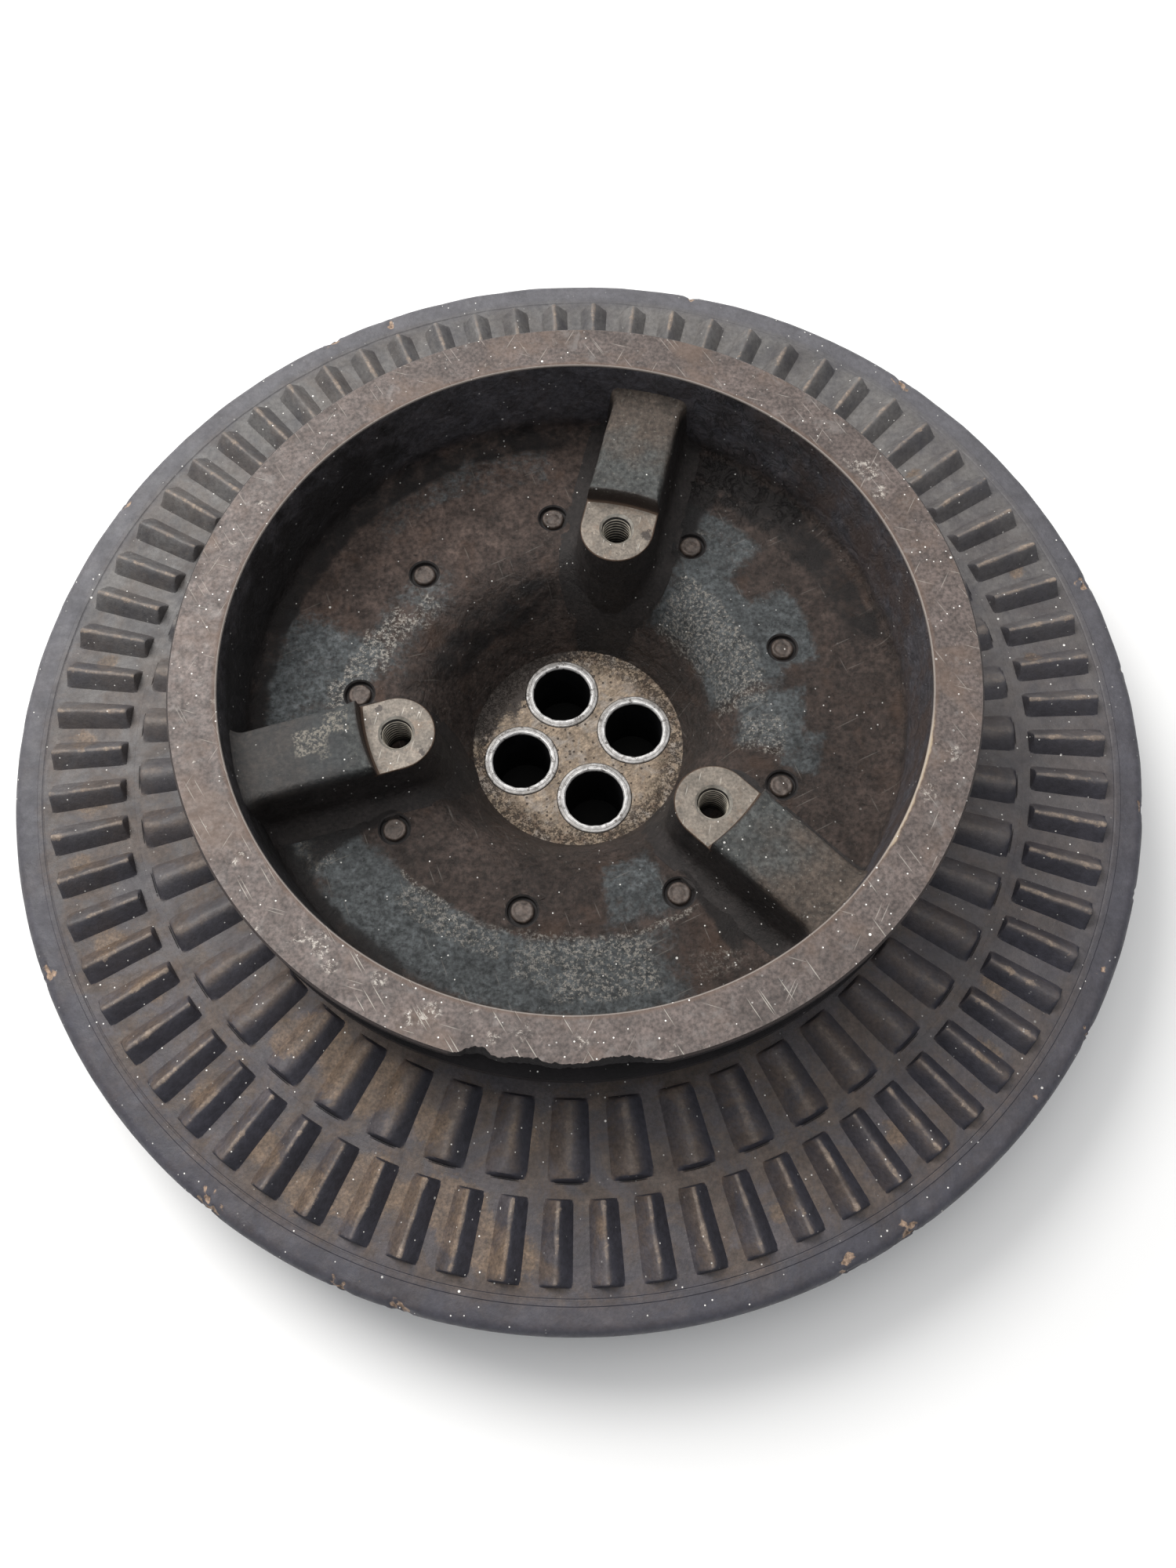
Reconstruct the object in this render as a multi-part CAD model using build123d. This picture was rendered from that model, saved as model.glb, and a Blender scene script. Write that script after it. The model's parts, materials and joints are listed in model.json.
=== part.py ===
from build123d import *
import os
from math import radians, sin, tan

# A crankshaft belt pulley with a rubber torsional vibration damper, in millimetres.
# Z is the axis of rotation. z = 0 is the back face of the hub, which seats on the
# crankshaft, and +Z points out of the open mouth of the cup.

# Cup-shaped pulley casting
PULLEY_DIAMETER = 231.6      # outside of the mouth ring and of the land below the groove
WALL_DRAFT = 1.8             # how much the cup wall closes in, on the radius, at the floor
WALL_FOOT_RADIUS = 4.0       # fillet between the cup wall and the floor
CUP_DEPTH = 32.1             # mouth ring face down to the cup floor
FLOOR_THICKNESS = 12.0
UNDERCUT = 3.8               # the wall below the land is this much smaller on the radius
EDGE_BREAK = 0.6             # small chamfers on machined edges

# Belt groove
LIP_THICKNESS = 4.3          # metal each side of the groove at the outside diameter
GROOVE_WIDTH = 13.0          # at the outside diameter
GROOVE_DEPTH = 10.5
WALL_BEHIND_GROOVE = 3.7     # between the groove's root and the mouth of the cup
GROOVE_ANGLE = 38.0          # included angle of the two flanks

# Hub, sunk below the cup floor
HUB_THICKNESS = 28.0         # back face up to the machined hub face
WELL_DEPTH = 32.5            # cup floor down to the machined hub face
HUB_FACE_MARGIN = 3.3        # hub face outside the bushes
FUNNEL_WIDTH = 28.3          # on the radius, from the hub face up to the flat floor
HUB_WALL = 17.3              # on the radius, hub face edge to the outside of the hub
BACK_CHAMFER = 1.5

# Crankshaft bolts and their bushes
BOLT_COUNT = 4
BOLT_ANGLE = 15.0
BUSH_BORE = 19.0
BUSH_WALL = 2.6
BUSH_SPACING = 3.1           # iron left between two neighbouring bushes
BUSH_PROUD = 0.5             # how far each bush stands above the hub face
BUSH_CHAMFER = 0.9

# Lugs inside the cup, for an accessory drive
LUG_COUNT = 3
LUG_ANGLE = 75.3
LUG_CIRCLE = 109.4
LUG_WIDTH = 22.8             # at the machined lug face
LUG_HEIGHT = 14.9            # cup floor up to the machined lug face
LUG_DRAFT = 4.0              # degrees, on the sides of the lug and its arm
REGISTER_DIAMETER = 129.0    # the arms are turned away inside this diameter
REGISTER_STEP = 6.0          # height of the arm above the lug face
THREAD_CORE = 8.5            # drilled size of an M10 thread
THREAD_MOUTH = 10.5          # countersink at the lug face
THREAD_END_WALL = 4.9        # iron left behind the blind hole

# Rivets that hold the carrier plate behind the floor
RIVET_COUNT = 9
RIVET_ANGLE = 15.4
RIVET_CIRCLE = 134.3
RIVET_DIAMETER = 7.0
RECESS_GAP = 1.0             # open ring round each rivet end in the cup floor
RECESS_DEPTH = 1.6
RIVET_END_DROP = 0.2         # rivet end below the cup floor
RIVET_HEAD_OVERHANG = 3.0    # head beyond the shank
RIVET_HEAD_HEIGHT = 4.5

# Pressed-steel carrier plate
PLATE_THICKNESS = 5.0
PLATE_BORE_CLEARANCE = 0.2   # on the radius, round the hub boss
PLATE_DISH = 14.5            # how far the outer flange is pressed back
PLATE_SLOPE_WIDTH = 10.0     # radial width of the sloping part
PLATE_RIM_COVER = 4.0        # rubber outside the plate's rim

# Rubber spring rings bonded to both sides of the carrier flange
SPRING_FRONT_THICKNESS = 7.6
SPRING_BACK_THICKNESS = 13.0
RIB_START_GAP = 0.3          # mouth ring radius to the first ribs
INNER_RIB_COUNT = 48
INNER_RIB_LENGTH = 23.4
INNER_RIB_DEGREES = 5.1
INNER_RIB_HEIGHT = 3.6
CHANNEL_WIDTH = 4.5          # between the two rings of ribs
TWIST_GAP = 0.3              # radial gap between the part that turns and the part that stays

# Inertia ring and the rubber that covers it
OUTER_RIB_COUNT = 72
OUTER_RIB_LENGTH = 23.4
OUTER_RIB_DEGREES = 3.3
OUTER_RIB_HEIGHT = 4.4
RIM_WIDTH = 12.6             # plain band outside the outer ribs
RIM_ROUND = 3.6
COVER_THICKNESS = 3.0
COVER_SIDE_THICKNESS = 4.0
INERTIA_RING_THICKNESS = 24.6
RIB_ROOT = 0.8               # how far each rib is rooted in its rubber

# Radii and levels that follow from the sizes above
ring_r = PULLEY_DIAMETER / 2
mouth_r = ring_r - GROOVE_DEPTH - WALL_BEHIND_GROOVE
floor_r = mouth_r - WALL_DRAFT
wall_r = ring_r - UNDERCUT
bush_r = BUSH_BORE / 2 + BUSH_WALL
bolt_circle_r = (bush_r + BUSH_SPACING / 2) / sin(radians(180 / BOLT_COUNT))
hub_face_r = bolt_circle_r + bush_r + HUB_FACE_MARGIN
funnel_r = hub_face_r + FUNNEL_WIDTH
boss_r = hub_face_r + HUB_WALL
rivet_circle_r = RIVET_CIRCLE / 2

hub_face_z = HUB_THICKNESS
floor_z = hub_face_z + WELL_DEPTH
mouth_z = floor_z + CUP_DEPTH
lug_z = floor_z + LUG_HEIGHT
arm_z = lug_z + REGISTER_STEP
plate_z = floor_z - FLOOR_THICKNESS
flange_z = plate_z - PLATE_DISH
rubber_z = flange_z + SPRING_FRONT_THICKNESS
groove_top_z = mouth_z - LIP_THICKNESS
groove_bottom_z = groove_top_z - GROOVE_WIDTH
land_z = groove_bottom_z - LIP_THICKNESS
split_z = land_z - UNDERCUT  # the belt ring and the hub are one casting, parted here

inner_rib_r = ring_r + RIB_START_GAP
channel_r = inner_rib_r + INNER_RIB_LENGTH + CHANNEL_WIDTH / 2
spring_r = channel_r - TWIST_GAP / 2
damper_bore_r = channel_r + TWIST_GAP / 2
outer_rib_r = channel_r + CHANNEL_WIDTH / 2
disc_r = outer_rib_r + OUTER_RIB_LENGTH + RIM_WIDTH
slope_outer_r = wall_r - 2.0
slope_inner_r = slope_outer_r - PLATE_SLOPE_WIDTH
iron_top_z = rubber_z - COVER_THICKNESS
iron_bottom_z = iron_top_z - INERTIA_RING_THICKNESS
iron_bore_r = damper_bore_r + COVER_SIDE_THICKNESS
iron_r = disc_r - COVER_SIDE_THICKNESS


def turned(outline):
    """Solid of revolution about Z of an outline drawn as (radius, height)."""
    return revolve(Plane.XZ * outline, Axis.Z)


def turned_points(*points):
    return turned(make_face(Polyline(*points, close=True)))


def around(count, radius, first_angle, piece):
    """Copies of a piece drawn at the axis, placed evenly on a circle."""
    return [place * piece for place in PolarLocations(radius, count, first_angle)]


def cylinder_up(diameter, z_low, z_high):
    """Cylinder on the axis between two heights."""
    return Pos(0, 0, (z_low + z_high) / 2) * Cylinder(diameter / 2, z_high - z_low)


def pulley_outline():
    """Half section of the casting: ring, groove, wall, floor, funnel and hub."""
    flank = GROOVE_DEPTH * tan(radians(GROOVE_ANGLE / 2))
    root_r = ring_r - GROOVE_DEPTH
    outside = Polyline(
        (mouth_r + EDGE_BREAK, mouth_z),
        (ring_r - EDGE_BREAK, mouth_z),
        (ring_r, mouth_z - EDGE_BREAK),
        (ring_r, groove_top_z),
        (root_r, groove_top_z - flank),
        (root_r, groove_bottom_z + flank),
        (ring_r, groove_bottom_z),
        (ring_r, land_z),
        (wall_r, split_z),
        (wall_r, plate_z),
        (boss_r, plate_z),
        (boss_r, BACK_CHAMFER),
        (boss_r - BACK_CHAMFER, 0),
        (0, 0),
        (0, hub_face_z),
        (hub_face_r, hub_face_z),
    )
    funnel = Spline(
        (hub_face_r, hub_face_z),
        (funnel_r, floor_z),
        tangents=[(0.45, 0.9), (1, 0)],
    )
    inside = Polyline(
        (funnel_r, floor_z),
        (floor_r, floor_z),
        (mouth_r, mouth_z - EDGE_BREAK),
        (mouth_r + EDGE_BREAK, mouth_z),
    )
    outline = make_face([*outside.edges(), funnel, *inside.edges()])
    wall_foot = outline.vertices().sort_by_distance((floor_r, floor_z))[0]
    return fillet(wall_foot, WALL_FOOT_RADIUS)


def lug():
    """One lug and its arm along +X, from inside the floor up to the arm's top."""
    limit_r = mouth_r + WALL_BEHIND_GROOVE / 3
    reach = limit_r - LUG_CIRCLE / 2
    top_width = LUG_WIDTH - 2 * REGISTER_STEP * tan(radians(LUG_DRAFT))
    plan = Circle(top_width / 2) + Pos(reach / 2, 0) * Rectangle(reach, top_width)
    plan = Pos(LUG_CIRCLE / 2, 0) * plan
    body = extrude(Pos(0, 0, arm_z) * plan, amount=floor_z - 1 - arm_z, taper=-LUG_DRAFT)
    outer_limit = cylinder_up(2 * limit_r, floor_z - 1, mouth_z)
    return body & outer_limit


def thread_hole():
    """Blind hole with a countersunk mouth, on the axis, drilled down from the lug face."""
    mouth = THREAD_MOUTH / 2 - THREAD_CORE / 2
    bottom_z = plate_z + THREAD_END_WALL
    return turned_points(
        (0, lug_z + 1),
        (THREAD_MOUTH / 2, lug_z + 1),
        (THREAD_MOUTH / 2, lug_z),
        (THREAD_CORE / 2, lug_z - mouth),
        (THREAD_CORE / 2, bottom_z),
        (0, bottom_z - THREAD_CORE / 4),
    )


def belt_ring():
    """Upper part of the casting: the wall from the land's undercut up, with the groove."""
    above = cylinder_up(2 * ring_r + 2, split_z, mouth_z + 1)
    return turned(pulley_outline()) & above


def threaded_lugs():
    """The three lugs and their arms, standing on the floor and against the wall."""
    lugs = []
    for one in around(LUG_COUNT, 0, LUG_ANGLE, lug()):
        one -= turned(pulley_outline())
        one -= cylinder_up(REGISTER_DIAMETER, lug_z, mouth_z)
        lugs.append(one - around(LUG_COUNT, LUG_CIRCLE / 2, LUG_ANGLE, thread_hole()))
    return Compound(children=lugs)


def pulley_hub():
    """Lower part of the casting, up to the belt ring."""
    body = turned(pulley_outline()) - belt_ring()
    body -= around(LUG_COUNT, LUG_CIRCLE / 2, LUG_ANGLE, thread_hole())
    bush_hole = cylinder_up(2 * bush_r, -1, hub_face_z + 1)
    body -= around(BOLT_COUNT, bolt_circle_r, BOLT_ANGLE, bush_hole)
    rivet_hole = cylinder_up(RIVET_DIAMETER, plate_z - 1, floor_z)
    recess_diameter = RIVET_DIAMETER + 2 * RECESS_GAP
    recess = cylinder_up(recess_diameter, floor_z - RECESS_DEPTH, floor_z + 1)
    body -= around(RIVET_COUNT, rivet_circle_r, RIVET_ANGLE, rivet_hole + recess)
    return body


def hub_bush():
    """Bush on the axis, from the back face to just above the hub face."""
    bore_r = BUSH_BORE / 2
    top = hub_face_z + BUSH_PROUD
    return turned_points(
        (bore_r, BUSH_CHAMFER),
        (bore_r + BUSH_CHAMFER, 0),
        (bush_r, 0),
        (bush_r, top - BUSH_CHAMFER / 2),
        (bush_r - BUSH_CHAMFER / 2, top),
        (bore_r + BUSH_CHAMFER, top),
        (bore_r, top - BUSH_CHAMFER),
    )


def rivet():
    """Rivet on the axis: a button head behind the plate and a plain end in the floor."""
    end_z = floor_z - RIVET_END_DROP
    seat_z = plate_z - PLATE_THICKNESS
    shank_r = RIVET_DIAMETER / 2
    head_r = shank_r + RIVET_HEAD_OVERHANG
    end_round = 0.6
    sides = Polyline(
        (head_r, seat_z),
        (shank_r, seat_z),
        (shank_r, end_z - end_round),
        (shank_r - end_round, end_z),
        (0, end_z),
        (0, seat_z - RIVET_HEAD_HEIGHT),
    )
    dome = ThreePointArc(
        (0, seat_z - RIVET_HEAD_HEIGHT),
        (0.72 * head_r, seat_z - 0.68 * RIVET_HEAD_HEIGHT),
        (head_r, seat_z),
    )
    return turned(make_face([*sides.edges(), dome]))


def carrier_plate():
    bore_r = boss_r + PLATE_BORE_CLEARANCE
    rim_r = spring_r - PLATE_RIM_COVER
    body = turned_points(
        (bore_r, plate_z),
        (slope_inner_r, plate_z),
        (slope_outer_r, flange_z),
        (rim_r, flange_z),
        (rim_r, flange_z - PLATE_THICKNESS),
        (slope_outer_r - PLATE_THICKNESS / 2, flange_z - PLATE_THICKNESS),
        (slope_inner_r - PLATE_THICKNESS / 2, plate_z - PLATE_THICKNESS),
        (bore_r, plate_z - PLATE_THICKNESS),
    )
    rivet_hole = cylinder_up(RIVET_DIAMETER, plate_z - PLATE_THICKNESS - 1, plate_z + 1)
    return body - around(RIVET_COUNT, rivet_circle_r, RIVET_ANGLE, rivet_hole)


def rib(inner_r, length, degrees, height):
    """Rib along +X with sides that point at the axis and an arched top."""
    sections = []
    for radius in (inner_r, inner_r + length):
        half = radius * tan(radians(degrees / 2))
        foot = Polyline((half, 0), (half, -RIB_ROOT), (-half, -RIB_ROOT), (-half, 0))
        crest = ThreePointArc((-half, 0), (0, height), (half, 0))
        section = make_face([*foot.edges(), crest])
        upright = Plane(origin=(radius, 0, rubber_z), x_dir=(0, 1, 0), z_dir=(1, 0, 0))
        sections.append(upright * section)
    return loft(sections, ruled=True)


def spring_rubber_front():
    """Ribbed rubber on the front of the carrier flange, closed round its rim."""
    rim_r = spring_r - PLATE_RIM_COVER
    ring = turned_points(
        (slope_outer_r, flange_z),
        (slope_outer_r, rubber_z),
        (spring_r, rubber_z),
        (spring_r, flange_z - PLATE_THICKNESS),
        (rim_r, flange_z - PLATE_THICKNESS),
        (rim_r, flange_z),
    )
    one = rib(inner_rib_r, INNER_RIB_LENGTH, INNER_RIB_DEGREES, INNER_RIB_HEIGHT)
    return ring.fuse(*around(INNER_RIB_COUNT, 0, 0, one))


def spring_rubber_back():
    """Plain rubber on the back of the carrier flange."""
    top_z = flange_z - PLATE_THICKNESS
    bottom_z = top_z - SPRING_BACK_THICKNESS
    return turned_points(
        (slope_outer_r, top_z),
        (spring_r, top_z),
        (spring_r, bottom_z),
        (slope_outer_r, bottom_z),
    )


def inertia_ring():
    return turned_points(
        (iron_bore_r, iron_bottom_z),
        (iron_r, iron_bottom_z),
        (iron_r, iron_top_z),
        (iron_bore_r, iron_top_z),
    )


def ribbed_cover():
    """Rubber over the front, the bore and the outside of the inertia ring."""
    outline = make_face(Polyline(
        (damper_bore_r, iron_bottom_z),
        (iron_bore_r, iron_bottom_z),
        (iron_bore_r, iron_top_z),
        (iron_r, iron_top_z),
        (iron_r, iron_bottom_z),
        (disc_r, iron_bottom_z),
        (disc_r, rubber_z),
        (damper_bore_r, rubber_z),
        close=True,
    ))
    rim = outline.vertices().sort_by_distance((disc_r, rubber_z))[0]
    ring = turned(fillet(rim, RIM_ROUND))
    one = rib(outer_rib_r, OUTER_RIB_LENGTH, OUTER_RIB_DEGREES, OUTER_RIB_HEIGHT)
    return ring.fuse(*around(OUTER_RIB_COUNT, 0, 0, one))


def back_cover():
    """Rubber over the back of the inertia ring."""
    outline = make_face(Polyline(
        (damper_bore_r, iron_bottom_z),
        (disc_r, iron_bottom_z),
        (disc_r, iron_bottom_z - COVER_THICKNESS),
        (damper_bore_r, iron_bottom_z - COVER_THICKNESS),
        close=True,
    ))
    rim = outline.vertices().sort_by_distance((disc_r, iron_bottom_z - COVER_THICKNESS))[0]
    return turned(fillet(rim, COVER_THICKNESS * 0.8))


def main():
    pieces = {
        "pulley_hub": pulley_hub(),
        "belt_ring": belt_ring(),
        "threaded_lugs": threaded_lugs(),
        "carrier_plate": carrier_plate(),
        "spring_rubber_front": spring_rubber_front(),
        "spring_rubber_back": spring_rubber_back(),
        "inertia_ring": inertia_ring(),
        "ribbed_cover": ribbed_cover(),
        "back_cover": back_cover(),
    }
    bushes = around(BOLT_COUNT, bolt_circle_r, BOLT_ANGLE, hub_bush())
    for number, bush in enumerate(bushes, start=1):
        pieces[f"hub_bush_{number}"] = bush
    rivets = around(RIVET_COUNT, rivet_circle_r, RIVET_ANGLE, rivet())
    for number, one in enumerate(rivets, start=1):
        pieces[f"rivet_{number}"] = one
    os.makedirs("parts", exist_ok=True)
    for name, piece in pieces.items():
        export_step(piece, f"parts/{name}.step")


main()
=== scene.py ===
"""Crankshaft belt pulley with a rubber vibration damper, as it lies on its back.

Lengths are in metres. Z is the axis of rotation and z = 0 is the back of the hub.
"""

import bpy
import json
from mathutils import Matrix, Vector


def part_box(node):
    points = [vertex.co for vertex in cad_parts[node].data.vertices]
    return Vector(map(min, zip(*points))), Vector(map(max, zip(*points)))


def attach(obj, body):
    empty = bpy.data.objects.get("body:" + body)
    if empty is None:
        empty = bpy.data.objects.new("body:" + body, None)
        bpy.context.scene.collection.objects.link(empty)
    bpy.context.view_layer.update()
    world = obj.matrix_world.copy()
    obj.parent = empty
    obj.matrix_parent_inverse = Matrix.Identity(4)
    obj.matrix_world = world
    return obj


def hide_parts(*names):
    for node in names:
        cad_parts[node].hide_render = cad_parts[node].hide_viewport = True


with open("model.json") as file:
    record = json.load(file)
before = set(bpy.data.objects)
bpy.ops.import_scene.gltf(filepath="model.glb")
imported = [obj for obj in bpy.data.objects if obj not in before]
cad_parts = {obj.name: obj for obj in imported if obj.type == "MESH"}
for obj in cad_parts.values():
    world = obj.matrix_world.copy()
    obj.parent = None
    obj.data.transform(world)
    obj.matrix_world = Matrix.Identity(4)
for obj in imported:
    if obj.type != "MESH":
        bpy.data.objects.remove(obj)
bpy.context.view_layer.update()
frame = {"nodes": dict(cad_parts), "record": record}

import json
from math import pi, radians, tan

import bmesh
import bpy
import numpy as np
from bpy.props import FloatProperty, FloatVectorProperty, IntProperty, PointerProperty
from mathutils import Matrix

bl_info = {
    "name": "Belt Pulley with Vibration Damper",
    "version": (1, 0, 0),
    "blender": (4, 5, 0),
    "location": "View3D > Sidebar > Pulley",
    "description": "Builds a worn cast pulley, its bushes, lugs and ribbed rubber damper",
    "category": "Object",
}

MM = 0.001
FULL_TURN = 2 * pi


# Places that come from the frame

def reach(node):
    """Outer radius, lowest and highest height of a turned node."""
    low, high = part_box(node)
    return high.x, low.z, high.z


def middle(node):
    """Centre of a node, seen along the axis of rotation."""
    low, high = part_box(node)
    return np.array([(low.x + high.x) / 2, (low.y + high.y) / 2])


def mount(name):
    """Position of one of the record's mounts."""
    found = [m for m in frame["record"]["mounts"] if m["name"] == name]
    return np.array(found[0]["pos_m"])


BUSHES = [f"hub_bush_{number}" for number in range(1, 5)]
RIVETS = [f"rivet_{number}" for number in range(1, 10)]
ring_r, split_z, mouth_z = reach("belt_ring")
wall_r, _, _ = reach("pulley_hub")
_, _, arm_z = reach("threaded_lugs")
disc_r, iron_bottom_z, outer_crest_z = reach("ribbed_cover")
spring_r, spring_foot_z, inner_crest_z = reach("spring_rubber_front")
_, back_z, _ = reach("back_cover")
_, bush_foot_z, bush_top_z = reach(BUSHES[0])
bush_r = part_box(BUSHES[0])[1].x - middle(BUSHES[0])[0]
lug_seat = mount("accessory_seat")
lug_z = lug_seat[2]
lug_turn = np.arctan2(lug_seat[1], lug_seat[0])


# Settings that the panel shows

def length(label, text, millimetres):
    return FloatProperty(name=label, description=text, default=millimetres * MM, unit="LENGTH",
                         precision=4)


def colour(label, text, red, green, blue):
    return FloatVectorProperty(name=label, description=text, default=(red, green, blue),
                               subtype="COLOR", size=3, min=0.0, max=1.0)


class PulleySizes(bpy.types.PropertyGroup):
    """Sizes of the casting and what is pressed into it."""
    mouth_radius: length("Mouth", "Inside radius of the mouth ring", 101.6)
    wall_draft: length("Wall draft", "How much the cup wall closes in at the floor", 1.8)
    wall_foot: length("Wall foot", "Fillet between the cup wall and the floor", 5.0)
    cup_depth: length("Cup depth", "Mouth ring down to the floor", 32.1)
    floor_thickness: length("Floor", "Thickness of the cup floor", 12.0)
    lip: length("Lip", "Metal on each side of the groove", 4.3)
    groove_depth: length("Groove depth", "Belt groove, below the outside", 10.5)
    groove_width: length("Groove width", "Belt groove, at the outside", 13.0)
    flank: FloatProperty(name="Flank", description="Slope of one groove flank",
                         default=radians(19), subtype="ANGLE")
    hub_height: length("Hub face", "Height of the machined hub face", 28.0)
    hub_radius: length("Hub face radius", "Radius of the machined hub face", 34.7)
    funnel_radius: length("Funnel", "Where the funnel meets the flat floor", 63.0)
    boss_radius: length("Boss", "Outside of the hub behind the floor", 52.0)
    bore: length("Bush bore", "Radius of the bore in a bush", 9.5)
    lug_half_width: length("Lug", "Half width of a lug at its machined face", 11.4)
    lug_circle: length("Lug circle", "Radius of the circle of threaded holes", 54.7)
    register: length("Register", "Radius that the arms are turned away to", 64.5)
    lug_draft: FloatProperty(name="Lug draft", description="Slope of the sides of a lug",
                             default=radians(4), subtype="ANGLE")
    thread_core: length("Thread core", "Core radius of the thread", 4.25)
    thread_outside: length("Thread outside", "Outer radius of the thread", 5.0)
    pitch: length("Pitch", "Rise of the thread in one turn", 1.5)
    recess: length("Rivet recess", "Radius of the recess round a rivet end", 4.5)
    recess_depth: length("Recess depth", "Depth of the recess round a rivet end", 1.6)


class DamperSizes(bpy.types.PropertyGroup):
    """Sizes of the rubber, the carrier plate and the ribs."""
    inner_ribs: IntProperty(name="Inner ribs", description="Ribs on the spring rubber", default=48)
    outer_ribs: IntProperty(name="Outer ribs", description="Ribs over the iron ring", default=72)
    inner_rib_height: length("Inner rib height", "Crest above the rubber", 3.6)
    outer_rib_height: length("Outer rib height", "Crest above the rubber", 4.4)
    inner_rib_start: length("Inner rib start", "Radius where the inner ribs begin", 116.1)
    inner_rib_end: length("Inner rib end", "Radius where the inner ribs end", 139.5)
    outer_rib_start: length("Outer rib start", "Radius where the outer ribs begin", 144.0)
    outer_rib_end: length("Outer rib end", "Radius where the outer ribs end", 167.4)
    inner_rib_turn: FloatProperty(name="Inner rib turn", description="Turn of the inner ribs",
                                  default=radians(-2.1), subtype="ANGLE")
    outer_rib_turn: FloatProperty(name="Outer rib turn", description="Turn of the outer ribs",
                                  default=radians(1.8), subtype="ANGLE")
    rim_round: length("Rim", "Rounding of the rim", 3.6)
    plate: length("Plate", "Thickness of the carrier plate", 5.0)


class PulleyColours(bpy.types.PropertyGroup):
    """Base colours of the finishes."""
    film: colour("Oil film", "Brown film on the casting", 0.044, 0.031, 0.026)
    paint: colour("Old paint", "Remnants of grey-blue paint", 0.074, 0.081, 0.084)
    ring: colour("Machined ring", "Oxidised face of the mouth ring", 0.112, 0.088, 0.080)
    hub: colour("Hub face", "Tan deposit on the hub face", 0.31, 0.24, 0.175)
    bush: colour("Bush", "Bright steel of the bushes", 0.40, 0.39, 0.385)
    lug: colour("Lug face", "Machined faces of the lugs", 0.165, 0.140, 0.115)
    rubber: colour("Rubber", "Clean rubber", 0.036, 0.035, 0.045)
    dust: colour("Dust", "Brown dust on the rubber", 0.094, 0.082, 0.086)


# Shapes as arrays of points

def lumps(points, size, seed):
    """Smooth random height, about -1 to 1: a sum of sine waves that run in random directions,
    each with a random phase and a wavelength near size."""
    rng = np.random.default_rng(seed)
    count = 28
    waves = rng.normal(size=(count, 3))
    waves /= np.linalg.norm(waves, axis=1)[:, None]
    waves *= (FULL_TURN / size) * rng.uniform(0.6, 1.5, (count, 1))
    phases = rng.uniform(0, FULL_TURN, count)
    total = np.zeros(points.shape[:-1])
    for wave, phase in zip(waves, phases):
        total += np.sin(points @ wave + phase)
    return total / np.sqrt(count)


def turned(turns, radii, heights):
    """Surface of revolution: radius and height run along the rows, the angle along the columns.
    Radius and height may be one value a row or one a point."""
    radii = np.asarray(radii, float)
    heights = np.asarray(heights, float)
    radii = radii[:, None] if radii.ndim == 1 else radii
    heights = heights[:, None] if heights.ndim == 1 else heights
    flat = np.zeros((max(len(radii), len(heights)), len(turns)))
    return np.stack([radii * np.cos(turns) + flat, radii * np.sin(turns) + flat, heights + flat], -1)


def between(first, second, steps):
    """Straight lines from each point of one curve to the same point of another."""
    share = np.linspace(0, 1, steps)[:, None, None]
    return first[None] * (1 - share) + second[None] * share


def bend(start, corner, end, steps):
    """Quadratic curve that leaves start towards corner and arrives at end from corner."""
    share = np.linspace(0, 1, steps)[:, None]
    start, corner, end = (np.asarray(p, float) for p in (start, corner, end))
    return start * (1 - share) ** 2 + 2 * corner * share * (1 - share) + end * share ** 2


def rounded(corners, steps=5):
    """Closed outline through corners given as (radius, height, rounding): each corner is
    replaced by an arc that is tangent to both of its sides."""
    points = np.array([corner[:2] for corner in corners], float)
    outline = []
    for index, (_, _, rounding) in enumerate(corners):
        here = points[index]
        back = points[index - 1] - here
        on = points[(index + 1) % len(points)] - here
        back /= np.linalg.norm(back)
        on /= np.linalg.norm(on)
        half = np.arccos(np.clip(back @ on, -1, 1)) / 2
        if rounding == 0:
            outline.append(here[None])
            continue
        run = rounding / tan(half)
        centre = here + (back + on) / np.linalg.norm(back + on) * rounding / np.sin(half)
        first = here + back * run - centre
        last = here + on * run - centre
        opening = pi - 2 * half
        share = np.linspace(0, 1, steps)[:, None]
        arc = first * np.sin((1 - share) * opening) + last * np.sin(share * opening)
        outline.append(centre + arc / np.sin(opening))
    return np.concatenate(outline)


def even_turns(count):
    return np.arange(count) * FULL_TURN / count


def read_points(mesh):
    """Places of the vertices of a mesh, one a row."""
    points = np.zeros(len(mesh.vertices) * 3, np.float32)
    mesh.vertices.foreach_get("co", points)
    return points.reshape(-1, 3).astype(float)


def write_marks(mesh, marks):
    """Stores each mark as one number a vertex."""
    for name, values in marks.items():
        layer = mesh.attributes.new(name, "FLOAT", "POINT")
        layer.data.foreach_set("value", values.astype(np.float32))


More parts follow.
